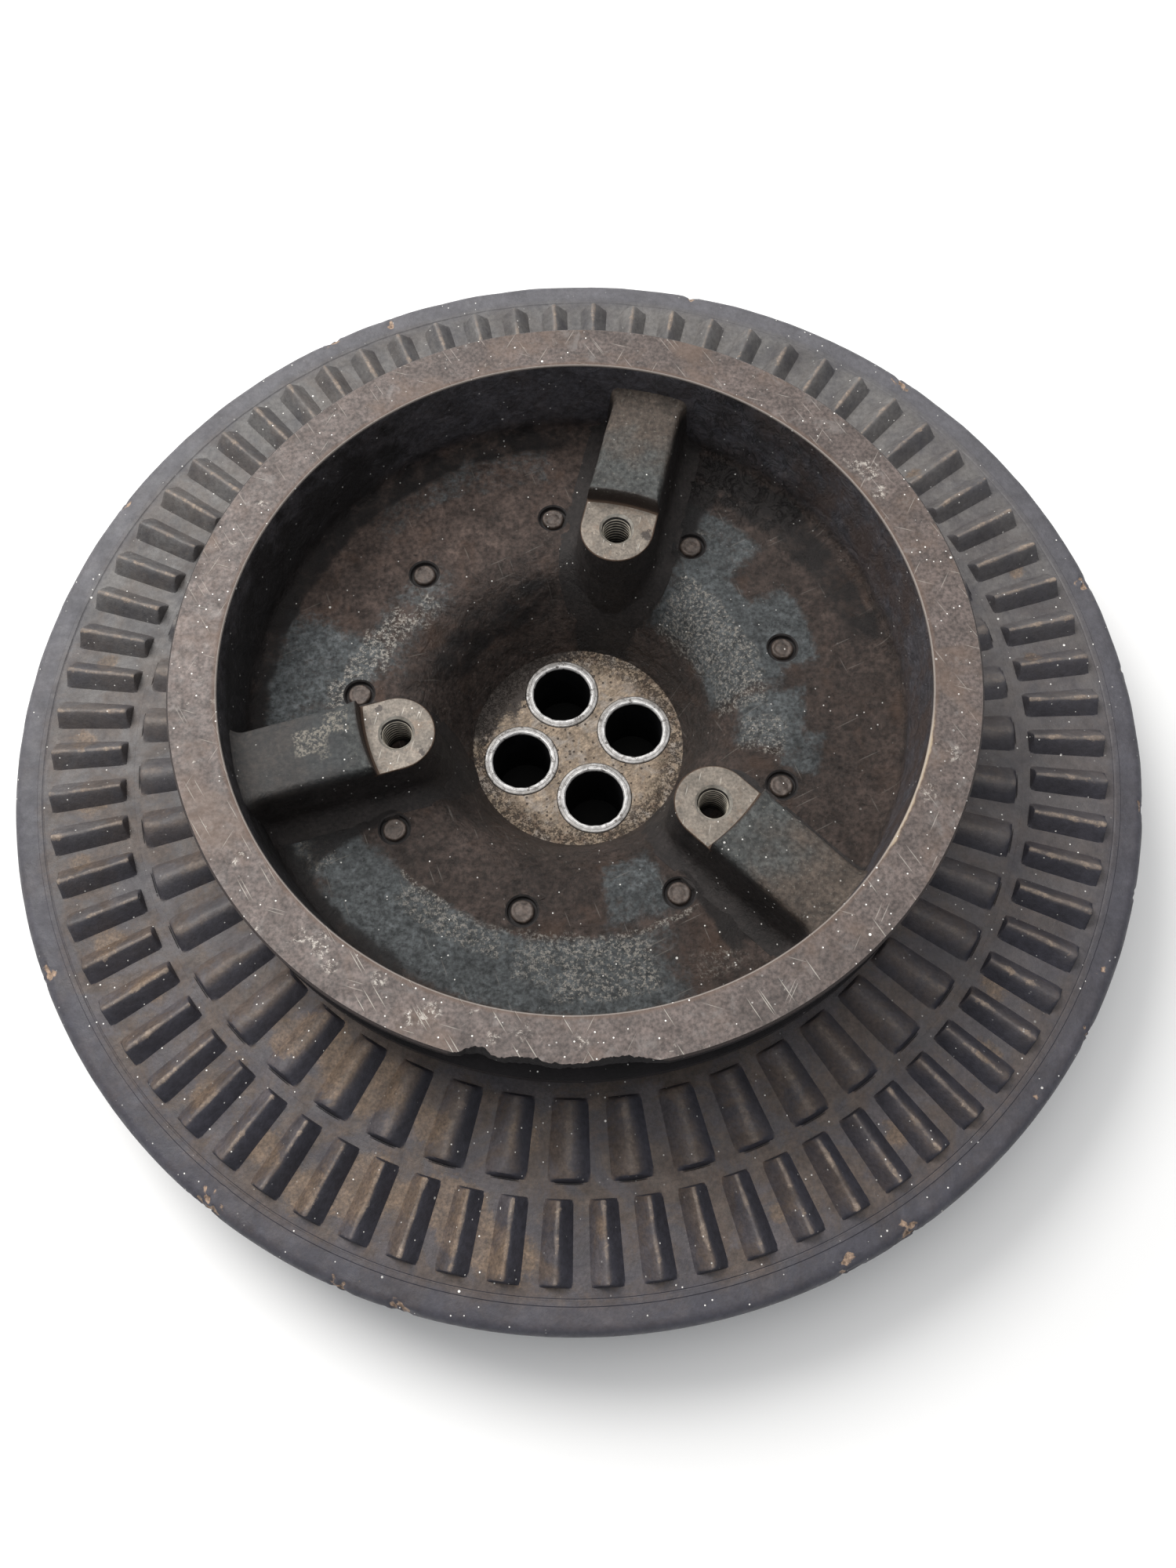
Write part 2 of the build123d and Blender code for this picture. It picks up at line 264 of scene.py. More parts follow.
class Shell:
    """Grids of points that are joined into one closed mesh."""

    def __init__(self):
        self.points = []
        self.faces = []
        self.finishes = []
        self.marks = {}
        self.total = 0

    def grid(self, points, finish=0, closed=False, **marks):
        """Adds a grid of rows and columns. closed joins the last column to the first.
        Each mark is a number for the whole grid or an array with one number a point."""
        rows, columns = points.shape[:2]
        index = np.arange(rows * columns).reshape(rows, columns) + self.total
        if closed:
            index = np.concatenate([index, index[:, :1]], 1)
        quads = np.stack([index[:-1, :-1], index[:-1, 1:], index[1:, 1:], index[1:, :-1]], -1)
        quads = quads.reshape(-1, 4)
        for name in set(marks) | set(self.marks):
            known = self.marks.setdefault(name, [np.zeros(self.total)])
            values = np.zeros((rows, columns)) + marks.get(name, 0.0)
            known.append(values.ravel())
        self.points.append(points.reshape(-1, 3))
        self.faces.append(quads)
        self.finishes.append(np.full(len(quads), finish))
        self.total += rows * columns

    def hoop(self, rows, **marks):
        """Adds a closed band of rows and the strip that joins its last row to its first."""
        self.grid(rows, closed=True, **marks)
        self.grid(np.stack([rows[-1], rows[0]]), closed=True)

    def piece(self, name, finishes, slot, body, *nodes, sharp=32, rough=None):
        """Makes the object: joins the grids, turns the faces outwards and shades them smooth
        up to the sharp angle. rough moves each point along its normal."""
        mesh = bpy.data.meshes.new(name)
        mesh.from_pydata(np.concatenate(self.points), [], np.concatenate(self.faces))
        mesh.polygons.foreach_set("material_index", np.concatenate(self.finishes).astype(np.int32))
        write_marks(mesh, {mark: np.concatenate(values) for mark, values in self.marks.items()})
        shape = bmesh.new()
        shape.from_mesh(mesh)
        bmesh.ops.remove_doubles(shape, verts=shape.verts, dist=2e-6)
        bmesh.ops.dissolve_degenerate(shape, edges=shape.edges, dist=1e-7)
        bmesh.ops.recalc_face_normals(shape, faces=shape.faces)
        shape.to_mesh(mesh)
        shape.free()
        if rough:
            count = len(mesh.vertices)
            points = read_points(mesh)
            normals = np.zeros(count * 3, np.float32)
            mesh.vertex_normals.foreach_get("vector", normals)
            weight = np.zeros(count, np.float32)
            mesh.attributes["cast"].data.foreach_get("value", weight)
            points += normals.reshape(-1, 3) * (rough(points) * weight)[:, None]
            mesh.vertices.foreach_set("co", points.ravel())
        mesh.shade_smooth()
        mesh.set_sharp_from_angle(angle=radians(sharp))
        made = bpy.data.objects.new(name, mesh)
        bpy.context.scene.collection.objects.link(made)
        for finish in finishes:
            mesh.materials.append(finish)
        if nodes:
            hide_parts(*nodes)
        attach(made, body)
        return made


def away(points, centre):
    """Distance of each point from a centre, seen along the axis of rotation."""
    return np.hypot(points[..., 0] - centre[0], points[..., 1] - centre[1])


def polar(points):
    """Angle, 0 to a full turn, and radius of each point."""
    return np.arctan2(points[..., 1], points[..., 0]) % FULL_TURN, away(points, (0, 0))


def patch(points, degrees, radius, half_degrees, half_width):
    """Soft mark, 1 inside and 0 outside, of a piece of a ring: an angle and a radius, each
    with half of its spread."""
    turn, out = polar(points)
    gap = np.abs((turn - radians(degrees) + pi) % FULL_TURN - pi) / radians(half_degrees)
    spread = np.maximum(gap, np.abs(out - radius) / half_width)
    return np.clip((1.25 - spread) / 0.5, 0, 1)


def spots(points, places):
    """Sum of round soft spots given as angle, radius and size."""
    total = np.zeros(points.shape[:-1])
    for degrees, radius, size in places:
        centre = radius * MM * np.array([np.cos(radians(degrees)), np.sin(radians(degrees))])
        total += np.exp(-(away(points, centre) / (size * MM)) ** 2)
    return np.clip(total, 0, 1)


def cast_skin(points):
    """Sand-cast unevenness, in metres: broad lumps and finer grains."""
    return 0.24 * MM * lumps(points, 14 * MM, 3) + 0.11 * MM * lumps(points, 5 * MM, 4)


# The casting

def cup_section(sizes):
    """Height of the cast surface inside the cup against radius: the funnel is a cubic curve
    that leaves the hub face steeply and lands flat on the floor, then the floor, the fillet
    at its edge and the wall. Returns radii and heights, one pair a row."""
    floor_z = mouth_z - sizes.cup_depth
    foot_r = sizes.mouth_radius - sizes.wall_draft
    share = np.linspace(0, 1, 26)[:, None]
    start = np.array([sizes.hub_radius, sizes.hub_height])
    end = np.array([sizes.funnel_radius - 2.4 * MM, floor_z])
    leave = np.array([0.45, 0.9]) * np.linalg.norm(end - start) * 1.05
    land = np.array([1.0, 0.0]) * np.linalg.norm(end - start) * 1.05
    funnel = (start * (2 * share ** 3 - 3 * share ** 2 + 1) + leave * (share ** 3 - 2 * share ** 2 + share)
              + end * (3 * share ** 2 - 2 * share ** 3) + land * (share ** 3 - share ** 2))
    foot = bend((foot_r - sizes.wall_foot, floor_z), (foot_r, floor_z),
                (foot_r + 0.05 * sizes.wall_foot, floor_z + sizes.wall_foot), 7)
    return funnel, foot


class CupHeight:
    """Height of the cup's surface at any radius, for whatever stands on it."""

    def __init__(self, sizes):
        funnel, foot = cup_section(sizes)
        self.radii, self.heights = np.concatenate([funnel, foot]).T

    def at(self, points):
        return np.interp(away(points, (0, 0)), self.radii, self.heights)


# Angles in degrees: where the lip is chipped, half of the slice of floor round a rivet, and
# from one rivet to the next
CHIP_SPAN = (252.6, 281.0)
HALF_SLICE = 9
RIVET_SPACING = 40
# Outside of the ring of floor that holds the rivets
ZONE_END = 73.6 * MM


def chip_depth(turns, fade):
    """How far the outer edge of the lip is broken away: a long shallow flat with a deeper
    notch near each end, made ragged by random waves. fade weakens it down the lip."""
    degrees = np.degrees(turns)
    flat = np.clip((degrees - CHIP_SPAN[0]) / 2.2, 0, 1) * np.clip((CHIP_SPAN[1] - degrees) / 3.5, 0, 1)
    notches = 0.0
    for where, spread, depth in ((256.4, 1.5, 2.0), (262.5, 2.6, 1.2), (274.3, 3.0, 1.5)):
        notches = notches + depth * np.exp(-((degrees - where) / spread) ** 2)
    path = np.stack([turns * ring_r, 0 * turns, 0 * turns + fade * 2 * MM], -1)
    ragged = 0.22 * lumps(path, 2.4 * MM, 8) + 0.13 * lumps(path, 0.9 * MM, 9)
    return MM * flat * np.maximum(1.7 + notches + ragged, 0.2) * fade


def casting_turns():
    """Columns of the casting: one a degree, and finer where the lip is chipped."""
    fine = np.arange(CHIP_SPAN[0] - 0.6, CHIP_SPAN[1] + 0.6, 0.2)
    edges = []
    for rivet in RIVETS:
        x, y = middle(rivet)
        turn = np.degrees(np.arctan2(y, x)) % 360
        edges += [(turn - HALF_SLICE) % 360, (turn + HALF_SLICE) % 360]
    degrees = np.concatenate([np.arange(0, 360, 1.0), fine, edges])
    return np.radians(np.unique(np.round(degrees, 3)))


def span(turns, first, last):
    """The columns from one angle to another, both included, in order."""
    start = np.argmin(np.abs((turns - first + pi) % FULL_TURN - pi))
    stop = np.argmin(np.abs((turns - last + pi) % FULL_TURN - pi))
    if stop <= start:
        return np.concatenate([turns[start:], turns[:stop + 1] + FULL_TURN])
    return turns[start:stop + 1]


def circle_towards(centre, radius, boundary, height):
    """The points of a circle that face the points of a boundary round it."""
    gap = boundary[:, :2] - centre
    gap /= np.linalg.norm(gap, axis=1)[:, None]
    flat = centre + gap * radius
    return np.concatenate([flat, np.full((len(flat), 1), height)], 1)


def wedge_edge(turns, radius, height, side_points):
    """Edge of a slice of a disc: its arc, then along one straight side to the axis and back
    along the other."""
    arc = turned(turns, [radius], [height])[0]
    axis = np.array([0, 0, height])
    share = np.linspace(0, 1, side_points)[1:, None]
    inwards = arc[-1] * (1 - share) + axis * share
    outwards = axis * (1 - share) + arc[0] * share
    return np.concatenate([arc, inwards, outwards[:-1]])


def add_hub(shell, sizes, turns):
    """Hub face, the holes for the bushes and the hub's back: each quarter is made of straight
    lines from the circle of a hole to the edge of the quarter."""
    quarter = radians(45)
    gap = 0.12 * MM
    back_r = sizes.boss_radius - 1.5 * MM
    for bush in BUSHES:
        centre = middle(bush)
        turn = np.arctan2(centre[1], centre[0])
        columns = span(turns, (turn - quarter) % FULL_TURN, (turn + quarter) % FULL_TURN)
        top = wedge_edge(columns, sizes.hub_radius, sizes.hub_height, 22)
        bottom = wedge_edge(columns, back_r, 0.0, 22)
        mouth = circle_towards(centre, bush_r + 1.6 * gap, top, sizes.hub_height)
        throat = circle_towards(centre, bush_r + gap, top, sizes.hub_height - 2 * gap)
        foot = circle_towards(centre, bush_r + gap, top, 0.0)
        shell.grid(between(top, mouth, 9), 2, closed=True)
        shell.grid(between(mouth, throat, 2), 2, closed=True)
        shell.grid(between(throat, foot, 3), 3, closed=True)
        shell.grid(between(foot, bottom, 6), 3, closed=True)


def add_rivet_zone(shell, sizes, turns, zone):
    """The ring of floor that holds the rivets: a slice round each rivet runs from the circle
    of its recess to the slice's edge, and plain slices lie between."""
    floor_z = mouth_z - sizes.cup_depth
    half = radians(HALF_SLICE)
    for rivet in RIVETS:
        centre = middle(rivet)
        turn = np.arctan2(centre[1], centre[0])
        columns = span(turns, (turn - half) % FULL_TURN, (turn + half) % FULL_TURN)
        sheet = turned(columns, zone, np.full(len(zone), floor_z))
        edge = np.concatenate([sheet[-1], sheet[::-1, -1][1:], sheet[0, ::-1][1:], sheet[:, 0][1:-1]])
        rim = circle_towards(centre, sizes.recess + 0.5 * MM, edge, floor_z)
        mouth = circle_towards(centre, sizes.recess, edge, floor_z - 0.35 * MM)
        foot = circle_towards(centre, sizes.recess - 0.25 * MM, edge, floor_z - sizes.recess_depth)
        pole = circle_towards(centre, 0.0, edge, floor_z - sizes.recess_depth)
        flat = between(edge, rim, 6)
        shell.grid(flat, 0, closed=True, cast=away(flat, centre) > 7 * MM)
        shell.grid(between(rim, mouth, 3), 4, closed=True)
        shell.grid(between(mouth, foot, 3), 4, closed=True)
        shell.grid(between(foot, pole, 2), 4, closed=True)
        rest = span(turns, (turn + half) % FULL_TURN, (turn + radians(RIVET_SPACING) - half) % FULL_TURN)
        shell.grid(turned(rest, zone, np.full(len(zone), floor_z)), 0, cast=1.0)


def add_ring(shell, sizes, turns):
    """Upper wall, mouth ring, chipped lip, belt groove and land, from the inside over the top
    and down the outside. The chips hold the radius below a ragged limit."""
    foot_r = sizes.mouth_radius - sizes.wall_draft
    floor_z = mouth_z - sizes.cup_depth
    edge = 0.6 * MM
    low_z = floor_z + sizes.wall_foot
    heights = np.linspace(low_z, mouth_z - edge - 1.2 * MM, 13)
    radii = foot_r + (sizes.mouth_radius - foot_r) * (heights - low_z) / (mouth_z - low_z)
    radii[0] = foot_r + 0.05 * sizes.wall_foot
    weight = np.linspace(1, 0.3, 13)[:, None]
    shell.grid(turned(turns, radii, heights), 0, closed=True, cast=weight)
    brow = [[radii[-1], heights[-1]], [sizes.mouth_radius, mouth_z - edge]]
    shell.grid(turned(turns, *np.array(brow).T), 0, closed=True, cast=np.array([[0.3], [0.0]]))
    face = np.concatenate([np.linspace(sizes.mouth_radius + edge, 110.5 * MM, 6),
                           np.arange(111.2, 115.2, 0.4) * MM, [ring_r - edge]])
    rounding = bend((sizes.mouth_radius, mouth_z - edge), (sizes.mouth_radius, mouth_z),
                    (sizes.mouth_radius + edge, mouth_z), 4)
    shell.grid(turned(turns, *rounding.T), 1, closed=True)
    top_limit = ring_r - chip_depth(turns, 1.0)
    shell.grid(turned(turns, np.minimum(face[:, None], top_limit), np.full(len(face), mouth_z)), 1,
               closed=True)
    groove_top = mouth_z - sizes.lip
    root_r = ring_r - sizes.groove_depth
    slope = sizes.groove_depth * tan(sizes.flank)
    side = np.array([[ring_r - edge, mouth_z], [ring_r, mouth_z - edge], [ring_r, mouth_z - 1.6 * MM],
                     [ring_r, mouth_z - 2.9 * MM], [ring_r, groove_top],
                     [ring_r - 1.8 * MM, groove_top - 1.8 * MM * tan(sizes.flank)],
                     [ring_r - 3.4 * MM, groove_top - 3.4 * MM * tan(sizes.flank)],
                     [ring_r - 6 * MM, groove_top - 6 * MM * tan(sizes.flank)]])
    limits = []
    for _, height in side:
        fade = 1.0 - 0.3 * (mouth_z - height) / sizes.lip
        limits.append(ring_r - chip_depth(turns, max(fade, 0.3)))
    radii = np.minimum(side[:, :1], np.array(limits))
    broken = (side[:, :1] - radii) > 0.3 * MM
    shell.grid(turned(turns, radii, side[:, 1]), 5, closed=True, broken=broken)
    groove_low = groove_top - sizes.groove_width
    land_z = groove_low - sizes.lip
    lower = np.array([[ring_r - 6 * MM, groove_top - 6 * MM * tan(sizes.flank)],
                      [root_r, groove_top - slope], [root_r, groove_low + slope], [ring_r, groove_low]])
    shell.grid(turned(turns, *lower.T), 5, closed=True)
    land = np.array([[ring_r, groove_low], [ring_r, land_z], [wall_r, split_z]])
    shell.grid(turned(turns, *land.T), 5, closed=True)


def add_back(shell, sizes, turns):
    """Lower outside wall, underside of the floor and the hub's outside."""
    plate_z = mouth_z - sizes.cup_depth - sizes.floor_thickness
    wall = np.linspace(split_z, plate_z + 2 * MM, 8)
    shell.grid(turned(turns, np.full(8, wall_r), wall), 3, closed=True, cast=1.0)
    corner = bend((wall_r, wall[-1]), (wall_r, plate_z), (wall_r - 2 * MM, plate_z), 4)
    under = [(wall_r - 2 * MM, plate_z), (80 * MM, plate_z), (sizes.boss_radius + 3 * MM, plate_z)]
    boss = bend(under[-1], (sizes.boss_radius, plate_z), (sizes.boss_radius, plate_z - 3 * MM), 4)
    tail = [(sizes.boss_radius, 12 * MM), (sizes.boss_radius, 1.5 * MM), (sizes.boss_radius - 1.5 * MM, 0)]
    for part in (corner, under, boss, [boss[-1], *tail]):
        shell.grid(turned(turns, *np.array(part, float).T), 3, closed=True)


# What is left of the paint in the cup: angle and radius of the middle, half angle, half
# width and strength. Angles are in degrees, lengths in millimetres.
PAINT = (
    (252, 85, 36, 11.0, 1.0), (285, 61, 9, 11.0, 0.7), (207, 90, 8, 8.0, 0.8), (216, 84, 7, 8.0, 0.9),
    (172, 80, 14, 18.0, 0.75), (150, 62, 20, 9.0, 0.5), (120, 90, 18, 7.0, 0.4),
    (104, 88, 10, 8.0, 0.4), (30, 54, 26, 11.0, 1.0), (52, 72, 12, 10.0, 0.7),
    (20, 70, 11, 8.0, 0.8), (354, 60, 10, 11.0, 0.8), (346, 70, 6, 7.0, 0.7),
)
# The same for crusts of white and grey specks
CRUST = (
    (275, 83, 10, 9.0, 1.0), (262, 80, 7, 9.0, 0.6), (241, 78, 14, 5.0, 0.7), (296, 90, 6, 6.0, 0.5),
    (176, 73.5, 4, 4.0, 0.9), (169, 69, 6, 4.5, 0.8), (162, 65.5, 6, 5.5, 1.0), (153, 62.5, 6, 5.0, 0.9),
    (144, 58, 6, 4.0, 0.6), (209, 91, 5, 6.0, 1.0),
    (36, 50, 16, 8.0, 1.0), (10, 52, 12, 8.0, 0.8), (58, 70, 8, 6.0, 0.5), (232, 73.5, 8, 1.2, 0.8),
    (280, 73.5, 20, 1.2, 0.8), (349, 58, 7, 8.0, 0.7), (105, 60, 12, 5.0, 0.3),
)
# The same for crusts on top of the arms
LIME = (
    (194, 79, 3, 4.5, 0.9), (196.5, 76, 3, 3.0, 0.5), (190.5, 71, 3, 4.0, 0.75), (193, 88, 2, 2.0, 0.4),
)

# The same for painted shadows beside and below the lugs, and painted shade along the foot of the wall and in
# the funnel
PAINTED_SHADOWS = (
    (64, 54, 8, 10.0, 1.0), (75, 41, 13, 6.5, 1.0), (62, 74, 5, 18.0, 0.8), (206, 66, 6, 24.0, 1.0),
    (198, 42, 10, 5.0, 0.8), (304, 66, 5, 22.0, 1.0), (312, 43, 10, 5.0, 0.8), (35, 92, 25, 6.0, 0.6),
    (180, 98, 60, 3.5, 0.7), (55, 95, 18, 4.0, 0.8), (135, 97, 45, 3.0, 0.6), (128, 45, 30, 4.0, 0.5),
)
# Whitish flakes on the mouth ring: angle in degrees, radius and size in millimetres
NICKS = (
    (230, 106, 2.6), (233, 109, 2.0), (227, 108, 1.8), (247, 110, 2.2), (249, 107, 2.0), (34, 108.5, 3.0),
    (30, 106, 2.2), (37, 106, 2.0), (336, 105, 2.2), (343, 109, 2.0), (262, 107, 1.8), (270, 108, 1.6),
    (212, 108, 1.8), (150, 107, 1.6), (258, 109, 1.6), (240, 105, 1.8),
)
# The same for dark chips at the edge of the lug faces
CHIPS = (
    (65.3, 55.2, 2.0), (204.5, 49.5, 1.2), (186.5, 58.5, 1.4),
)
# The same for scabs left by the sand on the wall of the cup
SCABS = (
    (61, 99, 11.0), (53, 96, 9.0), (46, 99, 8.0), (64, 93, 6.0),
)


def stains(points, places):
    """The strongest of a list of soft marks, at each point."""
    total = np.zeros(points.shape[:-1])
    for degrees, radius, half_degrees, half_width, strength in places:
        mark = patch(points, degrees, radius * MM, half_degrees, half_width * MM)
        total = np.maximum(total, strength * mark)
    return total


def mark_stains(made):
    """Writes to a finished mesh where paint, crusts and lime lie, where shadow is painted, and where
    there are flakes, chips and scabs."""
    points = read_points(made.data)
    marks = {"nick": spots(points, NICKS), "chip": spots(points, CHIPS), "scab": spots(points, SCABS)}
    for name, places in (("paint", PAINT), ("crust", CRUST), ("painted_shadow", PAINTED_SHADOWS), ("lime", LIME)):
        marks[name] = stains(points, places)
    write_marks(made.data, marks)


class PULLEY_OT_casting(bpy.types.Operator):
    """Builds the casting: hub, funnel, floor, wall, mouth ring and belt groove"""
    bl_idname = "pulley.casting"
    bl_label = "Casting"

    def execute(self, context):
        sizes = context.scene.pulley_sizes
        colours = context.scene.pulley_colours
        turns = casting_turns()
        floor_z = mouth_z - sizes.cup_depth
        funnel, foot = cup_section(sizes)
        zone = np.linspace(funnel[-1, 0], ZONE_END, 8)
        shell = Shell()
        add_hub(shell, sizes, turns)
        weight = np.clip(np.arange(len(funnel)) / 5 - 0.2, 0, 1)[:, None]
        shell.grid(turned(turns, *funnel.T), 0, closed=True, cast=weight)
        add_rivet_zone(shell, sizes, turns, zone)
        floor = np.linspace(zone[-1], foot[0, 0], 11)
        shell.grid(turned(turns, floor, np.full(len(floor), floor_z)), 0, closed=True, cast=1.0)
        shell.grid(turned(turns, *foot.T), 0, closed=True, cast=1.0)
        add_ring(shell, sizes, turns)
        add_back(shell, sizes, turns)
        finishes = [cast_iron(colours), machined_ring(colours), hub_deposit(colours),
                    back_iron(colours), recess_dirt(), groove_iron(colours)]
        made = shell.piece("casting", finishes, "casting", "pulley", "pulley_hub", "belt_ring",
                           rough=cast_skin)
        mark_stains(made)
        return {"FINISHED"}


# The lugs

# The turned step from the face of a lug up to its arm, in millimetres: how far each point
# lies outside the register and how high
STEP_OUT = np.array([-1.3, -0.7, -0.42, -0.36, -0.30, -0.18, 0.15, 0.9])
STEP_UP = np.array([0, 0.12, 0.55, 2.2, 4.4, 5.45, 5.9, 6.0])
SWEEP_START = 98 * MM
FLARE_START = 96.5 * MM
COUNTERSINK = 0.45 * MM
THREAD_DEPTH = 22 * MM
THREAD_ROWS = 150
SINK_ROWS = 8


class LugFrame:
    """Turns places along a lug (outwards, across) into places on the pulley."""

    def __init__(self, turn):
        self.out = np.array([np.cos(turn), np.sin(turn)])
        self.across = np.array([-np.sin(turn), np.cos(turn)])

    def place(self, along, side, height):
        along, side, height = np.broadcast_arrays(along, side, height)
        flat = along[..., None] * self.out + side[..., None] * self.across
        return np.concatenate([flat, height[..., None]], -1)


def lug_top(radii, sizes):
    """Height of the top of a lug: the machined face, the turned step and the arm, which
    sweeps up into the wall of the cup."""
    step = STEP_OUT * MM + sizes.register
    rise = STEP_UP * MM
    rise *= (arm_z - lug_z) / rise[-1]
    sweep = np.clip((radii - SWEEP_START) / (3 * MM), 0, 1)
    return lug_z + np.interp(radii, step, rise) + 2.2 * MM * (1 - np.sqrt(1 - np.minimum(sweep, 0.999) ** 2))


def add_lug(shell, sizes, turn, cup):
    """One lug and its arm. The top is a patch round the hole and a sheet of arcs behind it;
    the sides are one strip that follows the outline of the top, rounds over, leans out by the
    draft and flares into the cup along a quadratic curve; the hole is a screw surface."""
    place = LugFrame(turn).place
    draft = tan(sizes.lug_draft)
    step_rows = sizes.register + STEP_OUT * MM
    arm_rows = np.concatenate([step_rows, np.linspace(sizes.register + 3 * MM, 95.5 * MM, 12),
                               np.linspace(FLARE_START, 102.5 * MM, 10)])
    arm_top = lug_top(arm_rows, sizes)
    rise = np.clip((arm_rows - step_rows[2]) / (3 * MM), 0, 1)
    arm_round = (0.3 + 1.9 * rise) * MM
    arm_half = sizes.lug_half_width - (arm_top - lug_z) * draft - arm_round
    flare = 1.8 * MM * np.clip((arm_rows - FLARE_START) / (4.5 * MM), 0, 1) ** 2
    arm_half += flare
    across = np.sin(np.linspace(-pi / 2, pi / 2, 33)) * 0.35 + np.linspace(-1, 1, 33) * 0.65
    sides = arm_half[:, None] * across
    along = np.sqrt(arm_rows[:, None] ** 2 - sides ** 2)
    crown = 0.25 * MM * (1 - across ** 2) * rise[:, None]
    shell.grid(place(along, sides, arm_top[:, None] + crown), 0, cast=0.6 * rise[:, None])

    centre = sizes.lug_circle
    nose_round = 0.3 * MM
    half = sizes.lug_half_width - nose_round
    straight = np.linspace(along[0, 0], centre, 9)[1:]
    nose = np.linspace(-pi / 2, -3 * pi / 2, 49)[1:-1]
    left_x = np.concatenate([along[::-1, 0], straight])
    nose_x = centre + half * np.cos(nose)
    nose_y = half * np.sin(nose)
    outline_x = np.concatenate([left_x, nose_x, left_x[::-1]])
    left_y = np.concatenate([sides[::-1, 0], np.full(len(straight), -half)])
    outline_y = np.concatenate([left_y, nose_y, -left_y[::-1]])
    left_top = np.concatenate([arm_top[::-1], np.full(len(straight), lug_z)])
    top = np.concatenate([left_top, np.full(len(nose), lug_z), left_top[::-1]])
    left_round = np.concatenate([arm_round[::-1], np.full(len(straight), nose_round)])
    rounding = np.concatenate([left_round, np.full(len(nose), nose_round), left_round[::-1]])
    normal_x = np.concatenate([0 * left_x, np.cos(nose), 0 * left_x])
    normal_y = np.concatenate([0 * left_x - 1, np.sin(nose), 0 * left_x + 1])

    def moved(out, height):
        return place(outline_x + normal_x * out, outline_y + normal_y * out, height)

    flare_r = 6.5 * MM
    lean = rounding + 0
    for _ in range(3):
        base = cup.at(moved(lean, top))
        lean = rounding + np.maximum(top - base, 0) * draft
    rows = []
    for angle in np.linspace(0, pi / 2, 6):
        rows.append(moved(rounding * np.sin(angle), top - rounding * (1 - np.cos(angle))))
    flank_top = rows[-1]
    flank_low = moved(lean, base + flare_r)
    corner = moved(lean, base)
    toe = moved(lean + flare_r, 0 * base)
    toe[..., 2] = cup.at(toe)
    for share in (0.25, 0.5, 0.75):
        rows.append(flank_top * (1 - share) + flank_low * share)
    for share in np.linspace(0, 1, 8):
        rows.append(flank_low * (1 - share) ** 2 + 2 * corner * share * (1 - share) + toe * share ** 2)
    hem = moved(lean + flare_r + 0.6 * MM, 0 * base)
    hem[..., 2] = cup.at(hem) - 1.2 * MM
    rows.append(hem)
    strip = np.stack(rows)
    weight = np.concatenate([np.zeros(3), np.linspace(0.2, 1, len(rows) - 5), [0.6, 0]])[:, None]
    shell.grid(strip, 0, cast=weight * np.ones(len(top)))

    columns = len(across)
    share = (across + 1) / 2
    end = strip[:, 0][:, None] * (1 - share[:, None]) + strip[:, -1][:, None] * share[:, None]
    end[0] = place(along[-1], sides[-1], arm_top[-1] + crown[-1])
    shell.grid(end, 0)
    middle_index = len(top) // 2
    left = strip[-1][:middle_index + 1]
    right = strip[-1][::-1][:middle_index + 1]
    sole = left[:, None] * (1 - share[:, None]) + right[:, None] * share[:, None]
    shell.grid(sole.reshape(middle_index + 1, columns, 3), 0)

    first = len(arm_rows) - 1
    nose_edge = strip[0][first:len(top) - first]
    step_edge = place(along[0], sides[0], arm_top[0] + crown[0])[::-1][1:-1]
    edge = np.concatenate([nose_edge, step_edge])
    hole_centre = place(centre, 0.0, 0.0)[:2]
    mouth = circle_towards(hole_centre, sizes.thread_outside + COUNTERSINK, edge, lug_z)
    shell.grid(between(edge, mouth, 8), 1, closed=True)
    add_thread(shell, sizes, hole_centre, mouth)


def add_thread(shell, sizes, centre, mouth):
    """Threaded hole: the radius is a triangle wave of height less turn times pitch, opened out
    by the countersink at the top; the bottom is a cone."""
    drop = np.linspace(0, THREAD_DEPTH, THREAD_ROWS)[:, None]
    gap = mouth[:, :2] - centre
    turn = np.arctan2(gap[:, 1], gap[:, 0])
    phase = (drop / sizes.pitch + turn / FULL_TURN) % 1.0
    wave = np.clip(1.3 * np.abs(2 * phase - 1) - 0.15, 0, 1)
    radius = sizes.thread_core + (sizes.thread_outside - sizes.thread_core) * wave
    sink = sizes.thread_outside + COUNTERSINK - drop * 0.85
    radius = np.maximum(radius, sink)
    radius[-1] = sizes.thread_core
    x = centre[0] + radius * np.cos(turn)
    y = centre[1] + radius * np.sin(turn)
    wall = np.stack([x, y, lug_z - drop + 0 * turn], -1)
    shell.grid(wall[:SINK_ROWS], 2, closed=True)
    shell.grid(wall[SINK_ROWS - 1:], 3, closed=True, root=wave[SINK_ROWS - 1:])
    pole = wall[-1] * 0 + np.array([*centre, lug_z - THREAD_DEPTH - 2 * MM])
    shell.grid(between(wall[-1], pole, 2), 3, closed=True)


class PULLEY_OT_lugs(bpy.types.Operator):
    """Builds the three threaded lugs and their arms"""
    bl_idname = "pulley.lugs"
    bl_label = "Lugs"

    def execute(self, context):
        sizes = context.scene.pulley_sizes
        colours = context.scene.pulley_colours
        cup = CupHeight(sizes)
        finishes = [arm_iron(), lug_face(colours), bright_edge(), thread_iron()]
        for number in range(3):
            shell = Shell()
            add_lug(shell, sizes, lug_turn + number * FULL_TURN / 3, cup)
            made = shell.piece(f"lug_arm_{number + 1}", finishes, "casting", "pulley", "threaded_lugs",
                               rough=cast_skin)
            mark_stains(made)
        return {"FINISHED"}


# Bushes and rivets

